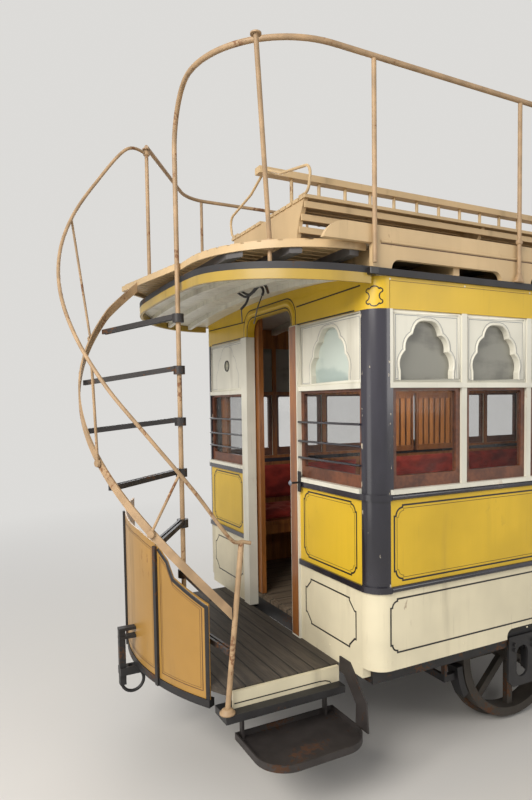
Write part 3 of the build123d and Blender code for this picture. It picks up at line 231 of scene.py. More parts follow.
class Finish(Tree):
    """A material with one shader, whose inputs are set by name."""

    def __init__(self, name, **fixed):
        self.material = bpy.data.materials.new(name)
        self.material.use_nodes = True
        super().__init__(self.material.node_tree)
        self.shader = self.tree.nodes.new("ShaderNodeBsdfPrincipled")
        self.shaded = Value(self, self.shader.outputs[0])
        self.surface = self.tree.nodes.new("ShaderNodeOutputMaterial").inputs[0]
        self.plug(self.shaded, self.surface)
        self.place = self.node("ShaderNodeTexCoord", out="Object")
        self.set(**fixed)

    def set(self, **values):
        for name, value in values.items():
            self.plug(value, self.shader.inputs[name.replace("_", " ")])

    def axis(self, name):
        return self.node("ShaderNodeSeparateXYZ", inputs={0: self.place}, out=name)

    def noise(self, scale, stretch=(1, 1, 1), detail=4, seed=0.0):
        """Smooth noise on the object's own coordinates, drawn out by a stretch."""
        shift = {"Vector": self.place, "Scale": stretch, "Location": (seed, seed, seed)}
        place = self.node("ShaderNodeMapping", inputs=shift)
        return self.node("ShaderNodeTexNoise", inputs={"Vector": place, "Scale": scale, "Detail": detail})

    def mix(self, a, b, share):
        return self.node("ShaderNodeMix", {"data_type": "RGBA"}, {0: share, 6: a, 7: b}, out=2)

    def uneven(self, colour, low, high, noise):
        """A colour that drifts between two shades of itself."""
        return self.mix(shade(colour, low), shade(colour, high), noise.step(0.3, 0.7))

    def wood(self, light, dark, grain):
        """Grain that runs along one axis: its stretch is small along it and large across it."""
        share = self.noise(3.0, grain, 5) * 0.6 + self.noise(16.0, grain, 6, seed=3.1) * 0.4
        return self.mix(dark, light, share.step(0.36, 0.64))

    def bump(self, height, distance):
        return self.node("ShaderNodeBump", inputs={"Height": height, "Distance": distance})


def shade(colour, factor):
    return [min(1, c * factor) for c in colour]


print("trees and finishes ready")

# %% [markdown]
# ## Coach paint
#
# Many thin brushed coats under varnish: nearly flat colour, faint upright brush marks, grime that
# runs down from the mouldings, and edges that have chipped to primer. Inside the saloon the same
# boards are varnished, so a mask on the place changes paint to wood.

# %% Painted finishes
GRIME, RUST, PRIMER = (0.13, 0.095, 0.055), (0.16, 0.055, 0.02), (0.25, 0.14, 0.03)
VARNISH = ((0.34, 0.125, 0.028), (0.17, 0.052, 0.012))
UPRIGHT = (9, 9, 0.7)
WHITE = (0.70, 0.675, 0.575)
DECK_TAN = (0.57, 0.41, 0.225)
# Near black for the painted shade under the landing slats.
UNDERSIDE_SHADE = (0.085, 0.08, 0.08)
WALL = 0.046


def painted(name, colour, dirt, chips, under=RUST, gloss=0.34, lined=False, grooves=None, shade_below_z=None):
    """Lined paint is wood behind the wall's thickness; grooves are a pitch across the tram."""
    finish = Finish(name)
    brushed = finish.noise(30.0, (1, 1, 0.06), 3, seed=1.7)
    top = finish.uneven(colour, 0.86, 1.05, finish.noise(2.3, detail=3))
    top = finish.mix(top, shade(colour, 0.9), brushed.step(0.45, 0.8) * 0.35)
    runs = finish.noise(7.0, (1, 1, 0.12), 6, seed=5.2).step(0.56, 0.82)
    cracks = finish.noise(55.0, (1, 1, 0.05), 4, seed=9.0).step(0.66, 0.74)
    soiled = (runs * dirt + cracks * dirt * 0.35).least(0.85)
    top = finish.mix(top, GRIME, soiled)
    patch = finish.noise(3.2, detail=6, seed=2.2).step(0.60, 0.70)
    chip = (finish.noise(26.0, (1, 1, 0.45), 8, seed=7.7) > 0.60) * patch * chips
    top = finish.mix(top, under, chip)
    height = brushed * 0.25 - chip * 0.8
    if grooves:
        seam = 1 - finish.axis("Y").folded(grooves).step(0.0012, 0.0035)
        top = finish.mix(top, shade(colour, 0.55), seam * 0.35)
        height = height - seam * 2
    # Below a given height the colour turns near black: painted shade on the undersides of the slats.
    if shade_below_z:
        top = finish.mix(top, UNDERSIDE_SHADE, (shade_below_z - finish.axis("Z")).step(0, 0.003))
    if lined:
        inside = (HALF_L - WALL - abs(finish.axis("X"))).step(0, 0.004)
        inside = inside * (HALF_W - WALL - abs(finish.axis("Y"))).step(0, 0.004)
        top = finish.mix(top, finish.wood(*VARNISH, UPRIGHT), inside)
    rough = gloss + brushed * 0.10 + soiled * 0.25 + chip * 0.3
    finish.set(Base_Color=top, Roughness=rough, Normal=finish.bump(height, 0.0006))
    finish.set(Coat_Weight=0.12, Coat_Roughness=0.2, Specular_IOR_Level=0.35)
    return finish.material


yellow = painted("yellow_coach_paint", (0.64, 0.415, 0.026), 0.25, 0.25, PRIMER, lined=True)
# Fascia yellow: dirtier, and darkened with painted shade so the lamp-lit fascias don't glare.
worn_shaded_yellow = painted("worn_yellow_paint", (0.40, 0.270, 0.052), 0.5, 0.5, PRIMER)
cream = painted("cream_coach_paint", (0.70, 0.63, 0.45), 0.5, 0.5, lined=True)
white = painted("white_coach_paint", WHITE, 0.35, 0.4, (0.35, 0.2, 0.1), lined=True)
ochre = painted("ochre_dash_paint", (0.385, 0.210, 0.048), 0.6, 0.6)
deck_paint = painted("deck_cream_paint", DECK_TAN, 0.55, 0.7, gloss=0.5)
# The landing slats carry painted shade on their undersides.
slat_paint = painted("landing_slat_paint", DECK_TAN, 0.55, 0.7, gloss=0.5, shade_below_z=DECK - 0.024)
white_boards = painted("white_ceiling_boards", WHITE, 0.45, 0.2, grooves=0.060)
print("paints:", [m.name for m in (yellow, cream, white, ochre, deck_paint)])

# %% [markdown]
# ## Black posts and mouldings
#
# The corner pillars are quarter rounds in blue-black gloss. Beside the window frames, bags and the
# sun have chipped their edges to pale primer.


# %% Black gloss
def black_gloss(name, edges):
    finish = Finish(name)
    tone = finish.noise(4.0, (1, 1, 0.3), 3)
    top = finish.mix((0.012, 0.011, 0.016), (0.030, 0.028, 0.040), tone.step(0.35, 0.7))
    wear = finish.noise(42.0, (1, 1, 0.5), 7, seed=4.0)
    dust = finish.noise(9.0, (1, 1, 0.15), 5, seed=6.0).step(0.55, 0.8)
    top = finish.mix(top, (0.12, 0.11, 0.10), dust * 0.35)
    chip = (wear > 0.74) * 0.5
    if edges:
        beside_x = abs(finish.axis("X")) - (HALF_L - POST_R)
        beside_y = abs(finish.axis("Y")) - (HALF_W - POST_R)
        rim = 1 - beside_x.least(beside_y).step(0.004, 0.014)
        chip = chip.most(rim * (wear > 0.635))
    top = finish.mix(top, (0.50, 0.44, 0.34), chip)
    rough = 0.22 + dust * 0.3 + chip * 0.4
    finish.set(Base_Color=top, Roughness=rough, Coat_Weight=0.4, Coat_Roughness=0.12)
    finish.set(Normal=finish.bump(tone * 0.3 - chip, 0.0006))
    return finish.material


post_black = black_gloss("black_pillar_gloss", edges=True)
rail_black = black_gloss("black_moulding_gloss", edges=False)
print("blacks:", post_black.name, rail_black.name)


# %% [markdown]
# ## Iron
#
# The stair, posts and rails were painted the deck's tan and have rusted where hands and rain reach
# them. The underframe is black with brown rust; the wheels have no paint left, and their rusty iron
# is darkened further with painted shade, as they stand under the tram.


# %% Painted and bare iron
def rusted(name, colour, amount, rough=0.55, metal=0.0, rust=1.0):
    """Amount is how much of the surface is rust, and rust is how pale it is."""
    finish = Finish(name)
    broad = finish.noise(4.5, detail=6, seed=2.0)
    fine = finish.noise(60.0, detail=5, seed=8.0)
    mask = (broad * 0.62 + fine * 0.38).step(0.60 - amount * 0.2, 0.66 - amount * 0.2)
    brown = finish.mix((0.075, 0.03, 0.014), shade((0.21, 0.095, 0.04), rust), fine.step(0.3, 0.7))
    top = finish.mix(finish.uneven(colour, 0.8, 1.12, finish.noise(12.0)), brown, mask)
    finish.set(Base_Color=top, Roughness=rough + mask * 0.25, Metallic=metal)
    finish.set(Normal=finish.bump(fine * mask - mask * 0.6, 0.0008))
    return finish.material


bead_black = rusted("worn_black_bead", (0.020, 0.019, 0.021), 0.12, 0.62, 0.0, 0.3)
rail_tan = rusted("tan_rail_paint", (0.37, 0.245, 0.135), 0.10)
tread_iron = rusted("dark_tread_iron", (0.030, 0.027, 0.027), 0.25, 0.5, 0.3, 0.5)
frame_iron = rusted("black_frame_iron", (0.022, 0.021, 0.022), 0.25, 0.5, 0.2, 0.45)
# The wheels' rusty iron is darkened with painted shade for where they stand under the tram.
shaded_wheel_iron = rusted("rusty_wheel_iron", (0.050, 0.042, 0.034), 0.30, 0.65, 0.3, 0.5)
step_iron = rusted("rusty_step_iron", (0.036, 0.030, 0.028), 0.10, 0.6, 0.2, 0.3)
print("irons ready")

# %% [markdown]
# ## Wood underfoot and wood indoors
#
# The platform planks lie across the tram, grey with wear. Sashes are mahogany and the saloon is
# varnished orange brown. Only the grain's direction and the plank joints differ.

# %% Woods
ALONG, ACROSS, FINE = (0.8, 14, 14), (14, 0.8, 14), (3, 3, 3)


def wooden(name, light, dark, grain, rough, joints=None, varnish=0.0):
    """Joints are an axis, a pitch and an offset."""
    finish = Finish(name)
    worn = finish.noise(1.8, detail=4, seed=4.4).step(0.4, 0.75)
    top = finish.mix(finish.wood(light, dark, grain), shade(light, 0.6), worn * 0.5)
    fine = finish.noise(24.0, grain, 6, seed=6.6)
    height = fine * 0.5
    if joints:
        axis, pitch, offset = joints
        along = finish.axis(axis) + offset
        gap = 1 - along.folded(pitch).step(0.0025, 0.0055)
        count = along / pitch + 0.5
        number = {"W": count.maths("FLOOR", count)}
        plank = finish.node("ShaderNodeTexWhiteNoise", {"noise_dimensions": "1D"}, number)
        top = finish.mix(top, shade(light, 0.55), plank * 0.5)
        top = finish.mix(top, (0.012, 0.010, 0.008), gap)
        height = height - gap * 4
    finish.set(Base_Color=top, Roughness=rough + fine * 0.15, Normal=finish.bump(height, 0.0008))
    finish.set(Coat_Weight=varnish, Coat_Roughness=0.15)
    return finish.material


GREY = ((0.080, 0.064, 0.047), (0.030, 0.024, 0.019))
DULL = ((0.20, 0.15, 0.10), (0.08, 0.055, 0.035))
planks = wooden("platform_planks", *GREY, ACROSS, 0.7, ("X", 0.0955, 0.03))
floor_boards = wooden("saloon_floor_boards", *DULL, ALONG, 0.6, ("Y", 0.11, 0.0))
deck_boards = wooden("deck_floor_boards", (0.42, 0.33, 0.22), DULL[0], ALONG, 0.7, ("Y", 0.12, 0.0))
mahogany = wooden("mahogany_sash", (0.17, 0.055, 0.022), (0.065, 0.020, 0.009), FINE, 0.4, varnish=0.15)
varnished = wooden("varnished_saloon_wood", *VARNISH, UPRIGHT, 0.3, varnish=0.5)
slat_wood = wooden("shutter_slat_wood", (0.62, 0.25, 0.060), (0.36, 0.125, 0.030), UPRIGHT, 0.4, varnish=0.1)
print("woods ready")

# %% [markdown]
# ## Glass
#
# The drop windows are clear and dusty, and the arched lights above them are ground glass. A low
# alpha with a glossy surface lets sight through both panes and still catches the lamps.

# %% Clear and ground glass
clear = Finish("clear_window_glass", Roughness=0.04, IOR=1.5)
smear = clear.noise(3.0, detail=5).step(0.45, 0.8)
clear.set(Base_Color=clear.mix((0.03, 0.035, 0.035), (0.20, 0.20, 0.18), smear), Alpha=0.12 + smear * 0.05)

ground = Finish("ground_arch_glass", Specular_IOR_Level=0.5)
cloud = ground.noise(14.0, (1, 1, 0.2), 5)
grime = ground.noise(2.0, (1, 1, 3), 5, seed=3.0).step(0.4, 0.7)
at_end = (abs(ground.axis("X")) - (HALF_L - 0.075)).step(0, 0.01)
pale = ground.mix((0.235, 0.230, 0.195), (0.50, 0.56, 0.51), at_end)
dark = ground.mix((0.140, 0.135, 0.115), (0.36, 0.43, 0.40), at_end)
ground.set(Base_Color=ground.mix(pale, dark, (cloud * 0.5 + grime * 0.5).step(0.35, 0.7)))
ground.set(Roughness=0.42, Normal=ground.bump(ground.noise(160.0), 0.0004))
print("glass ready")

# %% [markdown]
# ## Dressing the frame
#
# Each piece of the frame keeps its shape and takes one finish from a table. The cushions stay bare,
# because padded ones replace them.

# %% Finishes for the frame
FINISHES = {
    yellow: ("waist_panels", "letterboards"),
    worn_shaded_yellow: ("canopy_fascias",),
    cream: ("rocker_panels", "platform_edges"),
    white: ("window_framing", "fanlights"),
    white_boards: ("canopies", "roof"),
    ochre: ("dashes",),
    deck_paint: ("deck_bearers", "landing_edges", "side_boards", "bench_ends", "bench_slats", "bench_backs"),
    slat_paint: ("landings",),
    post_black: ("corner_posts",),
    rail_black: ("side_rails", "window_guards"),
    bead_black: ("roof_bead",),
    rail_tan: ("guard_rails", "rail_posts", "stringers", "handrails"),
    tread_iron: ("treads",),
    frame_iron: ("underframe", "axle_guards", "springs", "dash_irons", "draw_gear"),
    step_iron: ("steps",),
    shaded_wheel_iron: ("wheelset_a", "wheelset_b"),
    planks: ("platforms",),
    floor_boards: ("saloon_floor",),
    deck_boards: ("deck_floor",),
    mahogany: ("sashes",),
    varnished: ("saloon_benches", "door_leaf_a", "door_leaf_b"),
    clear.material: ("window_glass", "door_glass_a", "door_glass_b"),
    ground.material: ("fanlight_glass",),
}


def dress(mesh, material):
    mesh.materials.clear()
    mesh.materials.append(material)


bare = set(nodes)
for material, names in FINISHES.items():
    for name in names:
        dress(nodes[name].data, material)
        bare.remove(name)
print("left bare:", sorted(bare))

# %% [markdown]
# ## Making a mesh piece
#
# New pieces are meshes with their place in their vertices. A piece takes its finish from
# its look, and it rides on a body of the frame.


# %% Piece helpers
def placed(name, mesh, slot, body="tram"):
    thing = linked(name, mesh)
    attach(thing, body)
    return thing


def meshed(name, points, edges=(), faces=()):
    mesh = bpy.data.meshes.new(name)
    mesh.from_pydata([tuple(p) for p in points], edges, faces)
    return mesh


def piece(name, points, faces, look, smooth=False):
    material, slot = look
    mesh = meshed(name, points, faces=faces)
    mesh.validate()
    mesh.polygons.foreach_set("use_smooth", [smooth] * len(mesh.polygons))
    mesh.materials.append(material)
    return placed(name, mesh, slot)


def plain(name, colour, rough):
    """A single pigment, a little uneven, for narrow lines and small fittings."""
    finish = Finish(name)
    tone = finish.uneven(colour, 0.8, 1.0, finish.noise(30.0, detail=3))
    finish.set(Base_Color=tone, Roughness=rough)
    return finish.material


line_black = plain("lining_black", (0.014, 0.012, 0.012), 0.4)
line_blue = plain("lining_grey_blue", (0.17, 0.18, 0.22), 0.4)
line_brown = plain("lining_brown", (0.10, 0.045, 0.018), 0.5)
BLACK, BLUE, BROWN = [(line, "paint_black") for line in (line_black, line_blue, line_brown)]
BLACK_IRON, IRON, TAN = (line_black, "iron_black"), (frame_iron, "iron_black"), (rail_tan, "paint_tan")
GLOSSY_WOOD = (varnished, "wood_varnished")
print("linings:", line_black.name, line_blue.name, line_brown.name)

# %% [markdown]
# ## Lines and beads
#
# A coach painter pulls thin lines with a long brush, and a joiner plants half-round beads. Both are
# a section carried along a run of points. The run lives on a flat drawing board of u, v and d, the
# distance from the surface, and a placing function puts the board on a wall, round a corner or on
# the bowed dash.

# %% Sections along a run
PAINTED_LINE = ((-0.5, 0.0), (0.5, 0.0))
ROUND_BEAD = ((-0.5, 0.0), (-0.36, 0.75), (0.0, 1.0), (0.36, 0.75), (0.5, 0.0))


def moved_left(run, distance, closed):
    """A run moved to its left, which is inwards on an outline, with mitred corners."""
    corners = [Vector(p) for p in run]
    last = len(corners) - 1
    moved = []
    for i, here in enumerate(corners):
        before = corners[i - 1] if closed or i else 2 * here - corners[1]
        after = corners[(i + 1) % len(corners)] if closed or i < last else 2 * here - corners[i - 1]
        back = (here - before).orthogonal().normalized()
        ahead = (after - here).orthogonal().normalized()
        mitre = (back + ahead).normalized()
        moved.append(here + mitre * (distance / max(mitre.dot(ahead), 0.4)))
    return moved


def strokes(name, runs, width, look=BLACK, rise=0.0, smooth=False):
    """A piece of painted lines, or of beads that stand proud by a rise."""
    section = ROUND_BEAD if rise else PAINTED_LINE
    points, faces = [], []
    for place, run, closed in runs:
        first, count = len(points), len(run)
        for across, up in section:
            points += [place(u, v, LIFT + rise * up) for u, v in moved_left(run, width * across, closed)]
        for row in range(len(section) - 1):
            for i in range(count if closed else count - 1):
                a = first + row * count + i
                b = first + row * count + (i + 1) % count
                faces.append((a, b, b + count, a + count))
    print(name, len(runs), "runs,", len(faces), "faces")
    return piece(name, points, faces, look, smooth)


def divided(run, longest):
    """An open run with points added so that it can bend round a curved surface."""
    points = []
    for a, b in zip(run, run[1:]):
        a, b = Vector(a), Vector(b)
        parts = max(1, math.ceil((b - a).length / longest))
        points += [a.lerp(b, i / parts) for i in range(parts)]
    return points + [Vector(run[-1])]


# %% Places for the drawing board
BOW_R, BOW_X = 1.3158, 1.5322


def on_side(side, x=0.0, z=0.0, back=0.0):
    """A long wall: side is -1 for the near one. Back is how far the surface lies behind the wall."""
    return lambda u, v, d: (x - side * u, side * (HALF_W - back + d), z + v)


def on_end(end, y=0.0, z=0.0, back=0.0):
    """An end wall: end is -1 for end a."""
    return lambda u, v, d: (end * (HALF_L - back + d), y + end * u, z + v)


def on_corner(end, side, z):
    """The quarter-round corner between an end wall and a long wall."""
    middle = math.atan2(side, end)

    def place(u, v, d):
        x, y = polar(POST_R + d, middle + u / POST_R)
        return end * (HALF_L - POST_R) + x, side * (HALF_W - POST_R) + y, z + v

    return place


def on_dash(end):
    """The bowed dash: u runs round the bow from its middle."""

    def place(u, v, d):
        x, y = polar(BOW_R + d, math.asin(u / BOW_R))
        return end * (BOW_X + x), end * y, v

    return place


print("dash stands out to", round(on_dash(-1)(0, 1, 0)[0], 3))

# %% [markdown]
# ## Panel lining
#
# Each panel carries a bold line a hand's breadth inside its edge and, on the yellow, a hair line
# inside that. Corners are a quarter round, or a plain cut on the end rockers, with a small nib.

# %% Panel outline
QUARTERS = ((1, 1), (-1, 1), (-1, -1), (1, -1))


def panel(width, height, corner, steps=6, nib=0.010):
    """Outline with its middle at 0, 0, run round to the left, with nibbed corners."""
    points = []
    for quarter, (su, sv) in enumerate(QUARTERS):
        turns = [math.pi / 2 * (quarter + i / steps) for i in range(steps + 1)]
        for a, reach in [(turns[0], corner), *((a, corner - nib) for a in turns), (turns[-1], corner)]:
            u, v = polar(reach, a)
            points.append((su * (width / 2 - corner) + u, sv * (height / 2 - corner) + v))
    return points


WAIST_MID, WAIST_W, WAIST_H = 1.266, 3.724, 0.366
ROCKER_MID, ROCKER_W, ROCKER_H = 0.866, 3.77, 0.262
END_MID, END_W, END_LINE_W = 0.661, 0.582, 0.497
END_ROCKER_MID, END_ROCKER_W, END_ROCKER_H = 0.842, 0.477, 0.25
HAIR_INSET = 0.016
bold, hair = [], []


def line_waist(place, width, corner):
    bold.append((place, panel(width, WAIST_H, corner), True))
    inner = panel(width - 2 * HAIR_INSET, WAIST_H - 2 * HAIR_INSET, corner - 0.01)
    hair.append((place, inner, True))


for side in SIDES:
    line_waist(on_side(side, z=WAIST_MID), WAIST_W, 0.05)
    bold.append((on_side(side, z=ROCKER_MID), panel(ROCKER_W, ROCKER_H, 0.04), True))
for end in ENDS:
    for across in (-END_MID, END_MID):
        line_waist(on_end(end, across, WAIST_MID + 0.005), END_LINE_W, 0.045)
        cut = panel(END_ROCKER_W, END_ROCKER_H, 0.055, steps=1, nib=0.012)
        bold.append((on_end(end, across, END_ROCKER_MID), cut, True))
strokes("panel_lines", bold, 0.0085)
strokes("panel_hair_lines", hair, 0.0022)

# %% [markdown]
# ## Letterboard
#
# A hair line shows where the long board ends. A black line runs along the foot of each end board
# and another over it to the door, whose head has two lines with a raised band between them. Each
# corner has a small spool-shaped frame.

# %% Letterboard lines
BOARD_END, BOARD_LINE_TOP = 1.884, 2.508
DOOR_HALF, DOOR_HEAD, DOOR_ROUND = 0.286, 2.489, 0.08
FOOT_OUT, UPPER_OUT, LINES_IN, UPPER_LINE = 0.905, 0.952, 0.352, 2.482
DOOR_LINES, DOOR_BAND = (0.056, 0.008), 0.032


def door_frame(margin, foot):
    """An open run up one side of the doorway, over its rounded head and down the other."""
    radius = DOOR_ROUND + margin * 0.5
    half, head = DOOR_HALF + margin, DOOR_HEAD + margin
    run = [(half, foot)]
    for start, su in ((0, 1), (90, -1)):
        for i in range(7):
            u, v = polar(radius, math.radians(start + 15 * i))
            run.append((su * (half - radius) + u, head - radius + v))
    return run + [(-half, foot)]


hair, bold, bands = [], [], []
for side in SIDES:
    box = [(-BOARD_END, BOARD), (-BOARD_END, BOARD_LINE_TOP), (BOARD_END, BOARD_LINE_TOP), (BOARD_END, BOARD)]
    hair.append((on_side(side), box, False))
for end in ENDS:
    place = on_end(end)
    for way in WAYS:
        bold.append((place, [(way * FOOT_OUT, BOARD + 0.004), (way * LINES_IN, BOARD + 0.004)], False))
        bold.append((place, [(way * UPPER_OUT, UPPER_LINE + 0.012), (way * LINES_IN, UPPER_LINE)], False))
    bold += [(place, door_frame(margin, BOARD), False) for margin in DOOR_LINES]
    bands.append((place, door_frame(DOOR_BAND, BOARD - 0.01), False))
strokes("letterboard_hair_lines", hair, 0.002, BROWN)
strokes("letterboard_lines", bold, 0.0075)
strokes("door_head_bands", bands, 0.026, (yellow, "paint_yellow"), 0.008, smooth=True)

# %% Corner frames
SPOOL = (
    (0.0, 1.0), (0.24, 0.97), (0.42, 0.88), (0.50, 0.76), (0.62, 0.72), (0.66, 0.80), (0.80, 0.76),
    (0.96, 0.66), (1.0, 0.54), (0.96, 0.44), (0.78, 0.36), (0.64, 0.22), (0.58, 0.0),
)
SPOOL_W, SPOOL_H, SPOOL_Z = 0.040, 0.046, 2.436


def spool():
    """The little frame: one quarter of its outline, mirrored twice and run round to the left."""
    quarter = [(u * SPOOL_W, v * SPOOL_H) for u, v in SPOOL]
    right = [(u, -v) for u, v in quarter[1:-1]] + quarter[:0:-1]
    return [(0.0, -SPOOL_H)] + right + [(0.0, SPOOL_H)] + [(-u, -v) for u, v in right]


frames = [(on_corner(end, side, SPOOL_Z), spool(), True) for end, side in CORNERS]
strokes("corner_spool_frames", frames, 0.0055)

# %% [markdown]
# ## Arched lights
#
# Every light over the windows is a pointed arch of round lobes. A slim white bead runs round each
# arch and its board, and a grey-blue line follows both. The cusps are those that the boards are cut
# to, so the bead sits on the edge of the glass.

# %% Arch outline
FAN_LOW, FAN_H, FAN_BACK = 2.036, 0.343, 0.012
CUSPS = ((1.0, 0.0, 0.0), (1.0, 0.16, 0.055), (0.82, 0.44, 0.05), (0.55, 0.67, 0.075), (0.0, 0.86, 0.0))
SIDE_ARCH, END_ARCH, VENT_R, VENT_UP = 0.375, 0.30, 0.036, 0.52


def foil_arch(half, steps=6):
    """Up the right side of an arch, over its point and down the left side."""
    right = []
    for (u1, v1, sag), (u2, v2, _) in zip(CUSPS, CUSPS[1:]):
        start = Vector((u1 * half, FAN_LOW + v1 * FAN_H))
        run = Vector((u2 * half, FAN_LOW + v2 * FAN_H)) - start
        out = Vector((run.y, -run.x)).normalized() * (4 * sag * FAN_H)
        parts = steps if sag else 1
        for t in [i / parts for i in range(parts)]:
            right.append(start + run * t + out * (t * (1 - t)))
    point = Vector((0, FAN_LOW + CUSPS[-1][1] * FAN_H))
    return right + [point] + [Vector((-p.x, p.y)) for p in reversed(right)]


def spandrel(width, half, inset, clear):
    """The line inside a board: down both sides and the top, and over the arch."""
    edge, low, high = width / 2 - inset, FAN_LOW + inset * 0.7, FAN_LOW + FAN_H - inset
    over = moved_left(foil_arch(half), -clear, False)
    over = [Vector((p.x, max(min(p.y, high - 0.006), low))) for p in over]
    return [(edge, low), (edge, high), (-edge, high), (-edge, low)] + list(reversed(over))


BAYS = []
for side in SIDES:
    BAYS += [(on_side(side, bay_x(i), back=FAN_BACK), BAY_W, SIDE_ARCH, False) for i in range(WINDOWS)]
for end in ENDS:
    for across in (-END_MID, END_MID):
        BAYS.append((on_end(end, across, back=FAN_BACK), END_W, END_ARCH, across * end < 0))
rims, borders, pinstripes, vents = [], [], [], []
for place, width, share, has_vent in BAYS:
    half = width * share
    border = panel(width - 0.012, FAN_H - 0.012, 0.004, steps=1, nib=0)
    borders.append((place, [(u, FAN_LOW + FAN_H / 2 + v) for u, v in border], True))
    pinstripes.append((place, spandrel(width, half, 0.024, 0.017), True))
    if has_vent:
        vents.append((place, ring(VENT_R, FAN_LOW + VENT_UP * FAN_H), True))
    else:
        rims.append((place, moved_left(foil_arch(half), -0.0055, False), False))
strokes("arch_borders", borders, 0.011, (white, "paint_white"), 0.006, smooth=True)
strokes("arch_rims", rims, 0.010, (white, "paint_white"), 0.005, smooth=True)
strokes("arch_lines", pinstripes, 0.0022, BLUE)
strokes("vent_rings", vents, 0.010, BLACK, 0.004, smooth=True)

# %% [markdown]
# ## Dash lining
#
# The dash is three sheets under a curved top edge. Each has a brown line and a hair line, and a
# black strap is riveted down the side beside the step and along the low part of the top. Short
# stretches let them bend round the bow.

# %% Dash lines
DASH_HALF, DASH_FOOT, SHEET_JOINT = 0.666, 0.530, 0.310
DASH_TOP = (
    (0.666, 0.990), (0.45, 1.085), (0.405, 1.165), (0.31, 1.232), (0.1, 1.272), (-0.31, 1.302),
    (-0.666, 1.330),
)
STRAP_U, STRAP_DROP, STRAP_BENDS = DASH_HALF - 0.010, 0.011, (0.45, 0.405, 0.33)


def dash_top(u):
    """Height of the dash's edge: u runs from the far side, -, to the near side of end a, +."""
    for (u1, v1), (u2, v2) in zip(DASH_TOP, DASH_TOP[1:]):
        if u1 >= u >= u2:
            return v1 + (v2 - v1) * (u1 - u) / (u1 - u2)
    return DASH_TOP[-1][1]


def dash_sheet(low_u, high_u, inset):
    """Outline of one sheet of the dash, drawn in by an inset."""
    low_u, high_u = low_u + inset, high_u - inset
    stops = [high_u] + [u for u, _ in DASH_TOP if low_u < u < high_u] + [low_u]
    top = [(u, dash_top(u) - inset) for u in stops]
    foot = DASH_FOOT + inset
    return divided([(low_u, foot), (high_u, foot)] + top + [(low_u, foot)], 0.06)[:-1]


bold, hair, straps = [], [], []
joints = (-DASH_HALF, -SHEET_JOINT, SHEET_JOINT, DASH_HALF)
strap = [(STRAP_U, DASH_FOOT), (STRAP_U, DASH_TOP[0][1] - STRAP_DROP)]
strap += [(u, dash_top(u) - STRAP_DROP) for u in STRAP_BENDS]
for end in ENDS:
    for low_u, high_u in zip(joints, joints[1:]):
        bold.append((on_dash(end), dash_sheet(low_u, high_u, 0.036), True))
        hair.append((on_dash(end), dash_sheet(low_u, high_u, 0.047), True))
    straps.append((on_dash(end), divided(strap, 0.05), False))
strokes("dash_lines", bold, 0.004, BROWN)
strokes("dash_hair_lines", hair, 0.0018, BROWN)
strokes("dash_straps", straps, 0.022, BLACK_IRON, 0.003)

# %% [markdown]
# ## Gables and door stiles
#
# A yellow board closes the shallow arch between each end letterboard and the canopy, and beside the
# door stands the leaf's varnished stile. Boards are boxes whose eased edges catch a line of light.


# %% Boards
def block(xs, ys, zs, end=1, side=1):
    """Lowest and highest corner of a board, from its reach on each axis at end b and the far side."""
    return tuple(zip(sorted(end * x for x in xs), sorted(side * y for y in ys), sorted(zs)))


def boards(boxes, ease=0.003):
    """Vertices and faces of boards with eased edges."""
    shape = bmesh.new()
    for low, high in boxes:
        for corner in bmesh.ops.create_cube(shape, size=1)["verts"]:
            corner.co = [a + (b - a) * (c + 0.5) for a, b, c in zip(low, high, corner.co)]
    bmesh.ops.bevel(shape, geom=shape.edges[:], offset=ease, segments=1, affect="EDGES")
    shape.verts.index_update()
    points = [v.co.copy() for v in shape.verts]
    faces = [[v.index for v in f.verts] for f in shape.faces]
    shape.free()
    return points, faces


STILE = (1.9943, 1.9965), (0.292, 0.362), (PLATFORM + 0.01, BOARD - 0.004)
stiles = [block(*STILE, end, end) for end in ENDS]
piece("door_stiles", *boards(stiles, 0.001), GLOSSY_WOOD)
print("stiles:", len(stiles))

# %% Gable boards
CAMBER = 0.060


def gable(end, steps=32):
    """A shallow segment under the canopy's camber, as a slab inside the end wall."""
    low = ROOF + 0.0004
    radius = (HALF_W**2 + CAMBER**2) / (2 * CAMBER)
    across = [HALF_W * (2 * i / steps - 1) for i in range(1, steps)]
    arch = [(y, ROOF + CAMBER - radius + math.sqrt(radius**2 - y * y) - 0.0008) for y in across]
    points = []
    for x in (end * (HALF_L - 0.0006), end * (HALF_L - 0.016)):
        points += [(x, y, low) for y, _ in arch] + [(x, y, z) for y, z in arch]
    count, side = len(arch), 2 * len(arch)
    faces = []
    for a in range(count - 1):
        b = a + 1
        faces.append((a, b, count + b, count + a))
        faces.append((side + b, side + a, side + count + a, side + count + b))
        faces.append((b, a, side + a, side + b))
        faces.append((count + a, count + b, side + count + b, side + count + a))
    return points, faces if end > 0 else [tuple(reversed(f)) for f in faces]


for end, name in zip(ENDS, ("gable_board_a", "gable_board_b")):
    piece(name, *gable(end), (yellow, "paint_yellow"))
print("gables up to", ROOF + CAMBER)

# %% [markdown]
# ## Rules that grow pieces
#
# Rivets and slats repeat by a rule, so Geometry Nodes place them: points carry the way that each
# one faces and its size, and the tree puts the same small shape on every point. Every rule ends
# with real meshes and a material.


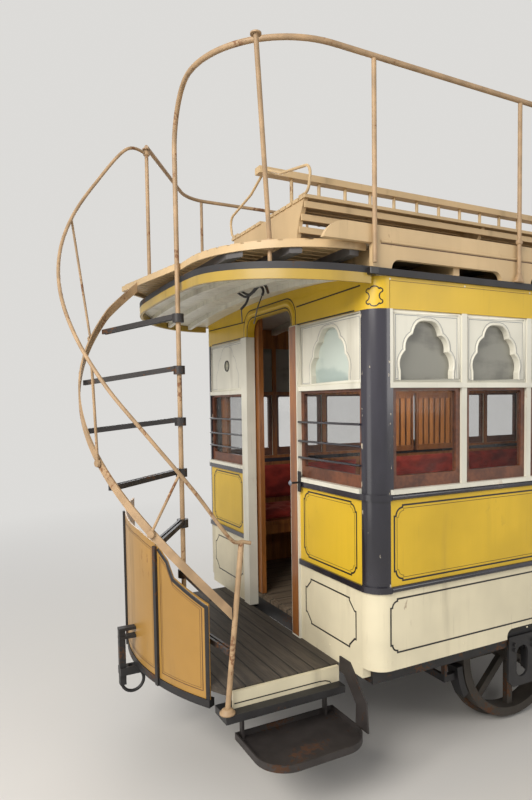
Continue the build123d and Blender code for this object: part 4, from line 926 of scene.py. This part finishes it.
# %% Rule class
class Rule(Tree):
    """A Geometry Nodes tree with named inputs, whose result becomes a plain piece."""

    def __init__(self, name, **inputs):
        super().__init__(bpy.data.node_groups.new(name, "GeometryNodeTree"))
        face = self.tree.interface
        face.new_socket("Geometry", in_out="OUTPUT", socket_type="NodeSocketGeometry")
        self.ids = {}
        for label, kind in {"Geometry": "Geometry", **inputs, "Material": "Material"}.items():
            socket = face.new_socket(label, in_out="INPUT", socket_type="NodeSocket" + kind)
            self.ids[label] = socket.identifier
        sockets = self.tree.nodes.new("NodeGroupInput").outputs
        self.given = {label: Value(self, sockets[label]) for label in self.ids}

    def attribute(self, name, kind):
        return self.node("GeometryNodeInputNamedAttribute", {"data_type": kind}, {"Name": name})

    def close(self, geometry):
        real = self.node("GeometryNodeRealizeInstances", inputs={"Geometry": geometry})
        inputs = {"Geometry": real, "Material": self.given["Material"]}
        result = self.tree.nodes.new("NodeGroupOutput").inputs[0]
        self.plug(self.node("GeometryNodeSetMaterial", inputs=inputs), result)

    def grow(self, name, mesh, look, body="tram", **values):
        material, slot = look
        seed = linked(name + "_seed", mesh)
        modifier = seed.modifiers.new("rule", "NODES")
        modifier.node_group = self.tree
        for label, value in {"Material": material, **values}.items():
            modifier[self.ids[label]] = value
        graph = bpy.context.evaluated_depsgraph_get()
        made = bpy.data.meshes.new_from_object(seed.evaluated_get(graph), depsgraph=graph)
        bpy.data.objects.remove(seed)
        print(name, len(mesh.vertices), "points,", len(made.polygons), "faces")
        return placed(name, made, slot, body)


print("rule class ready")

# %% [markdown]
# ## Bolts and rivets
#
# A head is a short cone: six sides and hardly any taper for a bolt, more of both for a round rivet.
# Each spot is given on the drawing board of its surface.

# %% Head rule
heads = Rule("heads", Sides="Int", Radius="Float", Crown="Float", Rise="Float")
cone = heads.node("GeometryNodeMeshCone", inputs={
    "Vertices": heads.given["Sides"],
    "Radius Bottom": heads.given["Radius"],
    "Radius Top": heads.given["Crown"],
    "Depth": heads.given["Rise"],
})
facing = {"Vector": heads.attribute("facing", "FLOAT_VECTOR")}
heads.close(heads.node("GeometryNodeInstanceOnPoints", inputs={
    "Points": heads.given["Geometry"],
    "Instance": cone,
    "Rotation": heads.node("FunctionNodeAlignRotationToVector", {"axis": "Z"}, facing),
    "Scale": heads.attribute("size", "FLOAT"),
}))


def spot(place, u, v, size=1.0):
    """A point on a surface, the way that it faces there, and the size of the head."""
    here, off = Vector(place(u, v, 0)), Vector(place(u, v, 1))
    return here, (off - here).normalized(), size


def stud(name, spots, look, body="tram", **sizes):
    mesh = meshed(name, [here for here, _, _ in spots])
    facing = mesh.attributes.new("facing", "FLOAT_VECTOR", "POINT")
    facing.data.foreach_set("vector", [c for _, way, _ in spots for c in way])
    size = mesh.attributes.new("size", "FLOAT", "POINT")
    size.data.foreach_set("value", [s for _, _, s in spots])
    return heads.grow(name, mesh, look, body, **sizes)


print("head rule ready")

# %% Body screws and dash rivets
BOLT = {"Sides": 6, "Radius": 0.011, "Crown": 0.0095, "Rise": 0.012}
RIVET = {"Sides": 10, "Radius": 0.006, "Crown": 0.003, "Rise": 0.005}
SCREW = {"Sides": 8, "Radius": 0.0055, "Crown": 0.0045, "Rise": 0.0016}
SIDE_ROWS, CORNER_ROWS, END_ROWS = (0.693, 1.02, ROOF - 0.012), (0.70, 1.015), (0.66, 1.018)
END_COLUMNS, STRAP_PINS = (0.40, END_MID, 0.92), (0.62, 0.56, 0.50, 0.43, 0.37)
GUARD_ROWS, GUARD_COLUMNS = (0.575, 0.545), (-0.235, -0.09, 0.09, 0.235)
screws, pins = [], []
for side in SIDES:
    for i in range(WINDOWS + 1):
        screws += [spot(on_side(side), (i - WINDOWS / 2) * PITCH, z) for z in SIDE_ROWS]
    for end in ENDS:
        screws += [spot(on_corner(end, side, z), u, 0) for z in CORNER_ROWS for u in (-0.05, 0.05)]
for end in ENDS:
    wall, dash = on_end(end), on_dash(end)
    for y in END_COLUMNS:
        screws += [spot(wall, way * y, z) for way in WAYS for z in END_ROWS]
    pins += [spot(dash, STRAP_U, DASH_FOOT + 0.03 + 0.085 * i) for i in range(6)]
    pins += [spot(dash, u, dash_top(u) - STRAP_DROP) for u in STRAP_PINS]
    for joint in joints[1:-1]:
        pins += [spot(dash, joint, DASH_FOOT + 0.05 + 0.11 * i, 1.2) for i in range(6)]
stud("body_screws", screws, (cream, "paint_cream"), **SCREW)
stud("dash_rivets", pins, BLACK_IRON, **RIVET)

# %% Running gear bolts
SOLE_FACE, HUB_FACE, WHEEL_X, AXLE, HUB_R = 0.984, 0.795, 0.730, 0.420, 0.072
bolts = []
for side in SIDES:
    place = on_side(side, back=HALF_W - SOLE_FACE)
    for x in (-WHEEL_X, WHEEL_X):
        bolts += [spot(place, -side * (x + across), z) for across in GUARD_COLUMNS for z in GUARD_ROWS]
stud("guard_bolts", bolts, IRON, **BOLT)
for body, x in (("wheelset_a", -WHEEL_X), ("wheelset_b", WHEEL_X)):
    hub = []
    for side in SIDES:
        face = on_side(side, x, AXLE, back=HALF_W - HUB_FACE)
        hub += [spot(face, *polar(HUB_R, math.tau * (i + 0.5) / 8)) for i in range(8)]
    stud(body + "_bolts", hub, (shaded_wheel_iron, "iron_rusted"), body, **BOLT)

# %% Stair bolts
POLE = (-2.653, -0.285)
STAIR_R, FIRST_A, TURN_A, RUNGS = 0.498, -66.0, 27.9, 7
iron = [nodes["stringers"].matrix_world @ v.co for v in nodes["stringers"].data.vertices]
iron = [p for p in iron if p.x < 0]


def stringer_face(angle):
    """A spot on the stringer's outer face, if its solid has a corner at this angle."""
    out = Vector((*polar(1, angle), 0))
    near = [p for p in iron if (p - Vector((*POLE, p.z))).normalized().dot(out) > 0.998]
    if not near:
        return []
    reach = max((p - Vector((*POLE, p.z))).length for p in near)
    height = sum(p.z for p in near) / len(near)
    return [(Vector((*POLE, height)) + out * reach, out, 1.0)]


def spots_at_both_ends(spots):
    return [(turn @ here, turn @ out, size) for turn in TURNS for here, out, size in spots]


found = [s for i in range(RUNGS) for s in stringer_face(math.radians(FIRST_A - TURN_A * i))]
stud("stair_bolts", spots_at_both_ends(found), TAN, **BOLT)

# %% [markdown]
# ## The stair's rail and stringer
#
# The solids' rail and stringer are chained from a few straight lengths. The smith bent the real
# bars to a fair curve, so a rule draws a smooth spline through the same few points and sweeps a
# round tube along it. Newels and balusters are straight bars.

# %% Swept tube rule
tubes = Rule("tubes", Radius="Float", Sides="Int", Stretch="Float")
curve = tubes.node("GeometryNodeMeshToCurve", inputs={"Mesh": tubes.given["Geometry"]})
curve = tubes.node("GeometryNodeCurveSplineType", {"spline_type": "CATMULL_ROM"}, {"Curve": curve})
curve = tubes.node("GeometryNodeSetSplineResolution", inputs={"Geometry": curve, "Resolution": 16})
stretches = {"Curve": curve, "Length": tubes.given["Stretch"]}
curve = tubes.node("GeometryNodeResampleCurve", {"mode": "LENGTH"}, stretches)
circle = {"Resolution": tubes.given["Sides"], "Radius": tubes.given["Radius"]}
section = tubes.node("GeometryNodeCurvePrimitiveCircle", inputs=circle)
ends = {"Curve": curve, "Profile Curve": section, "Fill Caps": True}
swept = tubes.node("GeometryNodeCurveToMesh", inputs=ends)
tubes.close(tubes.node("GeometryNodeSetShadeSmooth", inputs={"Geometry": swept}))


def tube(name, runs, radius, look, stretch=0.02, sides=12):
    """A piece of round bars: each run of points is one smooth bar."""
    points, edges = [], []
    for run in runs:
        edges += [(len(points) + i, len(points) + i + 1) for i in range(len(run) - 1)]
        points += run
    mesh = meshed(name, points, edges)
    return tubes.grow(name, mesh, look, Radius=radius, Sides=sides, Stretch=stretch)


def both_ends(runs):
    """The same bars at end b, half a turn round."""
    return [[turn @ Vector(p) for p in run] for turn in TURNS for run in runs]


print("tube rule ready")

# %% Rail and newel
BAR_R = STAIR_R + 0.0045
RAIL_R, RAIL_TUBE, NEWEL_TUBE, BALUSTER_TUBE = 0.583, 0.009, 0.013, 0.0065
RAIL_FOOT_A, RAIL_END_A, RAIL_FOOT_Z, RAIL_END_Z = -84, -258, 1.328, 3.428
NEWEL_TOP_A, NEWEL_FOOT_A, NEWEL_TOP_Z, NEWEL_FOOT_Z = -76.7, -87.3, 1.304, 0.5093
LAST_POST = Vector((-2.627, 0.297, 3.448))


def on_stair(radius, angle, z):
    """A point about the pole of end a, its angle in degrees."""
    x, y = polar(radius, math.radians(angle))
    return Vector((POLE[0] + x, POLE[1] + y, z))


def rail_point(t):
    """The rail spreads outwards above the newel and climbs evenly to the last post."""
    out = BAR_R + (RAIL_R - BAR_R) * min(1, 3 * t, 5 * (1 - t) + 0.4)
    angle = RAIL_FOOT_A + (RAIL_END_A - RAIL_FOOT_A) * t
    return on_stair(out, angle, RAIL_FOOT_Z + (RAIL_END_Z - RAIL_FOOT_Z) * t)


newel = [on_stair(BAR_R, NEWEL_FOOT_A, NEWEL_FOOT_Z), on_stair(BAR_R, NEWEL_TOP_A, NEWEL_TOP_Z)]
winding = [newel[1], *(rail_point(i / 9) for i in range(10)), LAST_POST]
lug = [on_stair(BAR_R + 0.018, -72, NEWEL_TOP_Z - 0.012), newel[1]]
rail = tube("stair_handrails", both_ends([winding, lug]), RAIL_TUBE, TAN)
tube("stair_newels", both_ends([newel]), NEWEL_TUBE, TAN, stretch=0.2)
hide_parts("handrails")

# %% Stringer
RISE, STRINGER_H, STRINGER_T = 0.2687, 0.056, 0.009
STRINGER_FOOT_A, STRINGER_END_A, FLAT_A, FLAT_SLOPE = -83.8, -261.3, -238, 0.78
PLATE = ((0, -0.5), (0, 0.5), (1, 0.5), (1, -0.5))


def stringer_z(angle):
    """Middle of the stringer: along the nosings, flatter where it meets the landing."""
    slope = RISE / TURN_A
    line = DECK - (angle - STRINGER_END_A) * slope
    return line - max(0, FLAT_A - angle) * slope * (1 - FLAT_SLOPE)


def winding_plate(steps=72):
    points, faces = [], []
    for turn in TURNS:
        first = len(points)
        for i in range(steps + 1):
            angle = STRINGER_FOOT_A + (STRINGER_END_A - STRINGER_FOOT_A) * i / steps
            for out, up in PLATE:
                z = stringer_z(angle) + up * STRINGER_H
                points.append(turn @ on_stair(STAIR_R + out * STRINGER_T, angle, z))
        for a in range(first, first + 4 * steps, 4):
            faces += [(a + j, a + 4 + j, a + 4 + (j + 1) % 4, a + (j + 1) % 4) for j in range(4)]
        faces += [tuple(first + j for j in range(4)), tuple(first + 4 * steps + j for j in (3, 2, 1, 0))]
    return points, faces


plate = piece("stair_stringers", *winding_plate(), TAN)
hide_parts("stringers")
print("stringer climbs to", round(stringer_z(STRINGER_END_A), 3))

# %% Balusters
BALUSTERS = ((-125, -110), (-157, -150), (-222, -218))
BOSS = {"Sides": 16, "Radius": 0.011, "Crown": 0.009, "Rise": 0.006}
bars, bosses = [], []
for foot_a, top_a in BALUSTERS:
    foot_z = stringer_z(foot_a)
    foot = on_stair(STAIR_R + STRINGER_T + BALUSTER_TUBE, foot_a, foot_z)
    bars.append([foot, rail_point((top_a - RAIL_FOOT_A) / (RAIL_END_A - RAIL_FOOT_A))])
    out = on_stair(1, foot_a, 0) - on_stair(0, foot_a, 0)
    bosses.append((on_stair(STAIR_R + STRINGER_T + 0.005, foot_a, foot_z), out, 1.8))
tube("stair_balusters", both_ends(bars), BALUSTER_TUBE, TAN, stretch=0.2)
stud("stair_bosses", spots_at_both_ends(bosses), TAN, **BOSS)

# %% [markdown]
# ## Turned fittings
#
# Post feet and collars are profiles of radius and height, turned about an upright axis as on a
# lathe.


# %% Lathe
def lathe(profiles, sides=20):
    """Vertices and faces of turned pieces: each is a foot's place and a profile going up."""
    points, faces = [], []
    for (x, y, z), profile in profiles:
        first = len(points)
        for radius, up in profile:
            points += [(x + u, v, z + up) for u, v in ring(radius, y, sides)]
        for row in range(len(profile) - 1):
            a, b = first + row * sides, first + (row + 1) * sides
            for i in range(sides):
                j = (i + 1) % sides
                faces.append((a + i, a + j, b + j, b + i))
        faces.append(tuple(first + i for i in reversed(range(sides))))
        faces.append(tuple(first + (len(profile) - 1) * sides + i for i in range(sides)))
    return points, faces


POSTS_X, POST_Y, BEAD_TOP, SIDE_TOP = (-1.042, 0.0, 1.042), 1.066, 2.560, 2.756
OUTER_Y = cad_box[1][1] - 0.0001
FOOT = ((0.030, 0.0), (0.030, 0.008), (0.022, 0.014), (0.016, 0.034), (0.0128, 0.044))
COLLAR = ((0.0128, 0.0), (0.0175, 0.004), (0.0175, 0.020), (0.0128, 0.024))
FLANGE = ((0.037, 0.0), (0.037, 0.008), (0.028, 0.011), (0.027, 0.020), (0.016, 0.026))
CLAMP = ((0.012, -0.014), (0.019, -0.010), (0.019, 0.010), (0.012, 0.014))


def trimmed(points, faces):
    """Cut flat on the outside to stay inside the CAD box. The real fittings are round."""
    return [(x, max(-OUTER_Y, min(OUTER_Y, y)), z) for x, y, z in points], faces


feet = [((x, side * POST_Y, BEAD_TOP), FOOT) for side in SIDES for x in POSTS_X]
feet += [(turn @ newel[0], FLANGE) for turn in TURNS]
collars = [((x, side * POST_Y, SIDE_TOP), COLLAR) for side in SIDES for x in POSTS_X]
collars += [(turn @ LAST_POST, CLAMP) for turn in TURNS]
piece("post_feet", *trimmed(*lathe(feet)), TAN, smooth=True)
piece("post_collars", *trimmed(*lathe(collars)), TAN, smooth=True)
print("turned pieces:", len(feet) + len(collars))

# %% [markdown]
# ## Bell bracket and door latch
#
# Under each canopy hangs a bent iron bracket for the bell, with two stiff pull wires. Beside the
# saloon door is its latch: a plate, a spindle and a worn round knob.

# %% Bell bracket
BRACKET_X, BRACKET_TUBE, WIRE_TUBE = -2.28, 0.007, 0.0035
BRACKET = (
    ((-0.203, 2.572), (-0.319, 2.523), (-0.406, 2.530), (-0.490, 2.551), (-0.534, 2.523), (-0.522, 2.500)),
    ((-0.250, 2.572), (-0.360, 2.528), (-0.440, 2.545), (-0.505, 2.572), (-0.560, 2.540), (-0.589, 2.499)),
    ((-0.362, 2.524), (-0.330, 2.489), (-0.265, 2.466)),
)
WIRES = (
    ((-2.28, -0.265, 2.466), (-2.20, -0.100, 2.445), (-2.09, 0.130, 2.452), (-1.997, 0.292, 2.478)),
    ((-2.28, -0.522, 2.500), (-2.28, -0.462, 2.438), (-2.13, -0.120, 2.415), (-1.997, 0.159, 2.462)),
)
irons = [[(BRACKET_X, *point) for point in run] for run in BRACKET]
tube("bell_brackets", both_ends(irons), BRACKET_TUBE, IRON, stretch=0.01, sides=8)
tube("bell_wires", both_ends(WIRES), WIRE_TUBE, BLACK_IRON, sides=6)

# %% Door latch
LATCH_Y, LATCH_Z, LATCH_HALF_W = 0.395, 1.500, 0.014
SPINDLE_X, SPINDLE_TUBE = (2.0, 2.058), 0.006
LATCH = (1.996, 2.003), (LATCH_Y - LATCH_HALF_W, LATCH_Y + LATCH_HALF_W), (LATCH_Z - 0.052, LATCH_Z + 0.062)
KNOB = {"Sides": 16, "Radius": 0.016, "Crown": 0.008, "Rise": 0.008}
spindles = [[Vector((end * x, end * LATCH_Y, LATCH_Z)) for x in SPINDLE_X] for end in ENDS]
knobs = [(tip, Vector((way * tip.x, 0, 0)).normalized(), 1.0) for _, tip in spindles for way in (1, -1)]
piece("latch_plates", *boards([block(*LATCH, end, end) for end in ENDS], 0.001), IRON)
tube("latch_spindles", spindles, SPINDLE_TUBE, IRON, stretch=0.1, sides=8)
stud("latch_knobs", knobs, (line_blue, "iron_black"), **KNOB)

# %% [markdown]
# ## Beads and lines of the sides
#
# A bead covers the joint of the long side boards, with a dark gap under it. Covers close the gap
# that the frame leaves between the side beads and the canopy beads of the roof. A black line runs
# along each riser and turns down at its inner end.

# %% Side boards, bead corners and risers
JOINT_A, JOINT_Z, JOINT_GAP = 1.935, 2.682, -0.0095
COVER = (1.955, 2.004), (1.026, 1.0655), (2.5265, 2.5605)
RISER_Y = 0.760
RISER_RUN = ((2.583, 0.533), (2.110, 0.532), (2.075, 0.5285), (2.052, 0.5205), (2.040, 0.5110))


def along_sides(v):
    return [(on_side(side, z=JOINT_Z), [(-JOINT_A, v), (JOINT_A, v)], False) for side in SIDES]


strokes("side_board_beads", along_sides(0), 0.012, (deck_paint, "paint_tan"), 0.006, smooth=True)
strokes("side_board_joints", along_sides(JOINT_GAP), 0.005, BROWN)
piece("bead_corners", *boards([block(*COVER, end, side) for end, side in CORNERS], 0.003), BLACK)
risers = []
for end, side in CORNERS:
    run = [(-side * end * x, z) for x, z in RISER_RUN]
    risers.append((on_side(side, back=HALF_W - RISER_Y), run, False))
strokes("riser_lines", risers, 0.006)

# %% [markdown]
# ## Slatted shutters
#
# Two windows of the far side have their shutters up: orange varnished frames with upright slats
# before a dark board, which is painted shade for the gaps between the slats. The rule lays a row
# of slats on every point.

# %% Slat rule
slats = Rule("slats", Count="Int", Pitch="Float", Size="Vector")
along = slats.node("ShaderNodeCombineXYZ", inputs={"X": slats.given["Pitch"]})
line = slats.node("GeometryNodeMeshLine", inputs={"Count": slats.given["Count"], "Offset": along})
slat = slats.node("GeometryNodeMeshCube", inputs={"Size": slats.given["Size"]})
row = slats.node("GeometryNodeInstanceOnPoints", inputs={"Points": line, "Instance": slat})
starts = {"Points": slats.given["Geometry"], "Instance": row}
slats.close(slats.node("GeometryNodeInstanceOnPoints", inputs=starts))

# %% Shutters
SLAT_PITCH, SLAT_COUNT = 0.066, 6
SHUTTER_Y, SHUTTER_FOOT, SHUTTER_TOP = 0.950, 1.50, 2.02
EDGE, RAIL_H, HALF_T, SHADE_BOARD_T = 0.022, 0.05, 0.012, (0.001, 0.006)
SLAT = (0.044, 0.010, SHUTTER_TOP - SHUTTER_FOOT - 0.09)
starts, frames, shade_boards = [], [], []
for x in (bay_x(3), bay_x(4)):
    starts.append((x - SLAT_PITCH * (SLAT_COUNT - 1) / 2, SHUTTER_Y, (SHUTTER_FOOT + SHUTTER_TOP) / 2))
    left, right = x - BAY_W / 2, x + BAY_W / 2
    ys, zs = (SHUTTER_Y - HALF_T, SHUTTER_Y + HALF_T), (SHUTTER_FOOT, SHUTTER_TOP)
    frames += [block((left, left + EDGE), ys, zs), block((right - EDGE, right), ys, zs)]
    for z in (SHUTTER_FOOT, SHUTTER_TOP - RAIL_H):
        frames.append(block((left + EDGE, right - EDGE), ys, (z, z + RAIL_H)))
    # A dark mahogany board behind each shutter: painted shade seen in the gaps between the slats.
    shade_boards.append(block((left, right), [ys[1] + t for t in SHADE_BOARD_T], zs))
size = {"Count": SLAT_COUNT, "Pitch": SLAT_PITCH, "Size": SLAT}
slats.grow("shutter_slats", meshed("shutter_slats", starts), (slat_wood, "wood_varnished"), **size)
# The boards behind the slats are painted shade.
piece("shutter_shade_boards", *boards(shade_boards, 0.001), (mahogany, "wood_mahogany"))
piece("shutter_frames", *boards(frames, 0.002), GLOSSY_WOOD)
print("shutters:", len(starts))

# %% [markdown]
# ## Plush seats
#
# Deep red plush, three pads a side for the seat and three for the back, crowned by their filling
# and pulled in by buttons. A cloth simulation with air pressure inside swells a slightly small box,
# and a limit keeps it on its bench. The dimples are pressed in afterwards.

# %% Plush
plush = Finish("red_plush", Roughness=0.85, Sheen_Weight=0.6, Sheen_Roughness=0.4)
pile = plush.noise(220.0, detail=3)
nap = plush.noise(9.0, (1, 1, 1.6), 5, seed=3.0).step(0.3, 0.72)
worn = plush.noise(3.5, detail=5, seed=7.0).step(0.55, 0.8)
red = plush.mix((0.150, 0.010, 0.007), (0.36, 0.030, 0.018), nap)
red = plush.mix(red, (0.40, 0.075, 0.035), worn * 0.5)
plush.set(Base_Color=red, Sheen_Tint=(0.9, 0.30, 0.22), Normal=plush.bump(pile * 0.6 + nap, 0.002))
print("plush ready")

# %% Pad by simulation
CAP, VOXEL, PRESSURE, LAST_FRAME = 0.016, 0.009, 4, 15
LOW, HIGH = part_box("seat_cushions")
SEAT_TOP, NEAR_Y, WALL_Y = 1.160, -0.585, -0.990
PADS = 3
PAD_L = (HIGH[0] - LOW[0]) / PADS


def swollen(low, high):
    """A pad's mesh: a remeshed box under inner pressure, each point held near where it began."""
    points, faces = boards([(low, high)], 0.012)
    pad = linked("pad", meshed("pad", points, faces=faces))
    bpy.context.view_layer.objects.active = pad
    remesh = pad.modifiers.new("remesh", "REMESH")
    remesh.mode = "VOXEL"
    remesh.voxel_size = VOXEL
    with bpy.context.temp_override(object=pad, active_object=pad):
        bpy.ops.object.modifier_apply(modifier=remesh.name)
    cloth = pad.modifiers.new("cloth", "CLOTH")
    cloth.settings.use_pressure = True
    cloth.settings.uniform_pressure_force = PRESSURE
    cloth.settings.effector_weights.gravity = 0
    cloth.settings.quality = 4
    for frame_number in range(1, LAST_FRAME + 1):
        bpy.context.scene.frame_set(frame_number)
    graph = bpy.context.evaluated_depsgraph_get()
    swelled = bpy.data.meshes.new_from_object(pad.evaluated_get(graph), depsgraph=graph)
    pad.modifiers.remove(cloth)
    for vertex, new in zip(pad.data.vertices, swelled.vertices):
        step = new.co - vertex.co
        vertex.co = vertex.co + step * min(1, CAP / max(step.length, 1e-6))
    bpy.context.scene.frame_set(1)
    made = pad.data
    bpy.data.objects.remove(pad)
    return made


gap = CAP + 0.002
seat_pad = swollen((gap, WALL_Y + gap, LOW[2] + 0.010), (PAD_L - gap, NEAR_Y - gap, SEAT_TOP - CAP))
back_pad = swollen((gap, WALL_Y + 0.012, SEAT_TOP + 0.012), (PAD_L - gap, WALL_Y + 0.044, HIGH[2] - gap))
print("pads:", len(seat_pad.vertices), "and", len(back_pad.vertices), "points")

# %% Buttons
BUTTON_PITCH, DIMPLE_R, FACE_DEPTH = 0.2, 0.035, 0.004
SEAT_ROWS, BACK_ROWS = (-0.87, -0.76, -0.66), (1.25, 1.36)


def dimpled(mesh, axis, across, rows, depth):
    """Presses a dimple at each button into the face of a pad that looks along an axis."""
    count = int(PAD_L / BUTTON_PITCH)
    buttons = []
    for r, at in enumerate(rows):
        buttons += [((i + 0.5 + 0.5 * (r % 2)) * PAD_L / count, at) for i in range(count)]
    middle = sum(v.co[axis] for v in mesh.vertices) / len(mesh.vertices)
    for vertex in mesh.vertices:
        if vertex.co[axis] - middle > FACE_DEPTH:
            near = min((vertex.co.x - x) ** 2 + (vertex.co[across] - at) ** 2 for x, at in buttons)
            vertex.co[axis] -= depth * math.exp(-near / DIMPLE_R**2)
    return buttons


seat_buttons = dimpled(seat_pad, 2, 1, SEAT_ROWS, 0.014)
back_buttons = dimpled(back_pad, 1, 2, BACK_ROWS, 0.012)
print("buttons on a pad:", len(seat_buttons), "and", len(back_buttons))

# %% Pads in their places
for side, turn in zip(("near", "far"), TURNS):
    for i in range(PADS):
        for kind, mesh in (("seat", seat_pad), ("back", back_pad)):
            made = mesh.copy()
            made.transform(turn @ Matrix.Translation((LOW[0] + i * PAD_L, 0, 0)))
            made.polygons.foreach_set("use_smooth", [True] * len(made.polygons))
            dress(made, plush.material)
            pad = placed(f"{kind}_pad_{side}_{i + 1}", made, "plush_red")
            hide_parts("seat_cushions")
print("pads in place:", len(TURNS) * PADS * 2)

# %% [markdown]
# ## Floor and light
#
# A plain pale floor under a large soft lamp, with the sky filling the shadows. The camera sees the
# same tone beyond the floor, and sees through the floor from below. A faint lamp in the saloon
# lights the shutters.

# %% Stage
BACKDROP = (0.72, 0.71, 0.69)
bpy.ops.mesh.primitive_circle_add(vertices=96, radius=60, fill_type="NGON", location=(0, 0, 0))
floor = bpy.context.object
floor.name = "studio_floor"
pale = Finish("studio_floor_paint", Roughness=0.9, Base_Color=(0.62, 0.60, 0.57))
reach = pale.node("ShaderNodeVectorMath", {"operation": "LENGTH"}, {0: pale.place}, out="Value")
glow = pale.node("ShaderNodeEmission", inputs={"Color": BACKDROP})
far = {0: pale.seen() * reach.step(3.0, 9.0), 1: pale.shaded, 2: glow}
below = {
    0: pale.node("ShaderNodeNewGeometry", out="Backfacing") * pale.ray("Camera"),
    1: pale.node("ShaderNodeMixShader", inputs=far),
    2: pale.node("ShaderNodeBsdfTransparent"),
}
pale.plug(pale.node("ShaderNodeMixShader", inputs=below), pale.surface)
dress(floor.data, pale.material)

world = bpy.data.worlds.new("studio_sky")
bpy.context.scene.world = world
world.use_nodes = True
sky = Tree(world.node_tree)
skies = {
    0: sky.seen(),
    1: sky.node("ShaderNodeBackground", inputs={"Color": (0.95, 0.97, 1.0), "Strength": 0.50}),
    2: sky.node("ShaderNodeBackground", inputs={"Color": BACKDROP, "Strength": 1.0}),
}
surface = sky.tree.nodes.new("ShaderNodeOutputWorld").inputs[0]
sky.plug(sky.node("ShaderNodeMixShader", inputs=skies), surface)
print("stage:", floor.name, "and", world.name)


# %% Lamps
def lamp(name, place, aim, size, power, colour, spread=180):
    light = bpy.data.lights.new(name, "AREA")
    light.shape = "RECTANGLE"
    light.size, light.size_y = size
    light.energy = power
    light.spread = math.radians(spread)
    light.color = colour
    holder = linked(name, light)
    holder.location = place
    holder.rotation_euler = (Vector(aim) - Vector(place)).to_track_quat("-Z", "Y").to_euler()


lamp("key_window", (-7.5, -3.6, 5.2), (-1.2, 0, 1.6), (4.0, 3.0), 540, (1.0, 0.96, 0.9))
lamp("end_fill", (-6.6, -1.2, 1.5), (-2.0, 0, 1.9), (2.0, 2.0), 18, (1.0, 0.97, 0.93))
lamp("side_fill", (2.0, -7.0, 3.2), (0.2, 0, 1.5), (4.0, 3.0), 110, (1.0, 0.98, 0.95))
lamp("back_fill", (1.0, 7.0, 5.0), (0, 0, 1.6), (5.0, 3.0), 220, (0.95, 0.97, 1.0))
lamp("saloon_glow", (-0.25, -0.45, 2.40), (0.0, 0.95, 1.72), (0.9, 0.15), 4, (1.0, 0.90, 0.75), spread=80)
bpy.context.scene.view_settings.view_transform = "Standard"
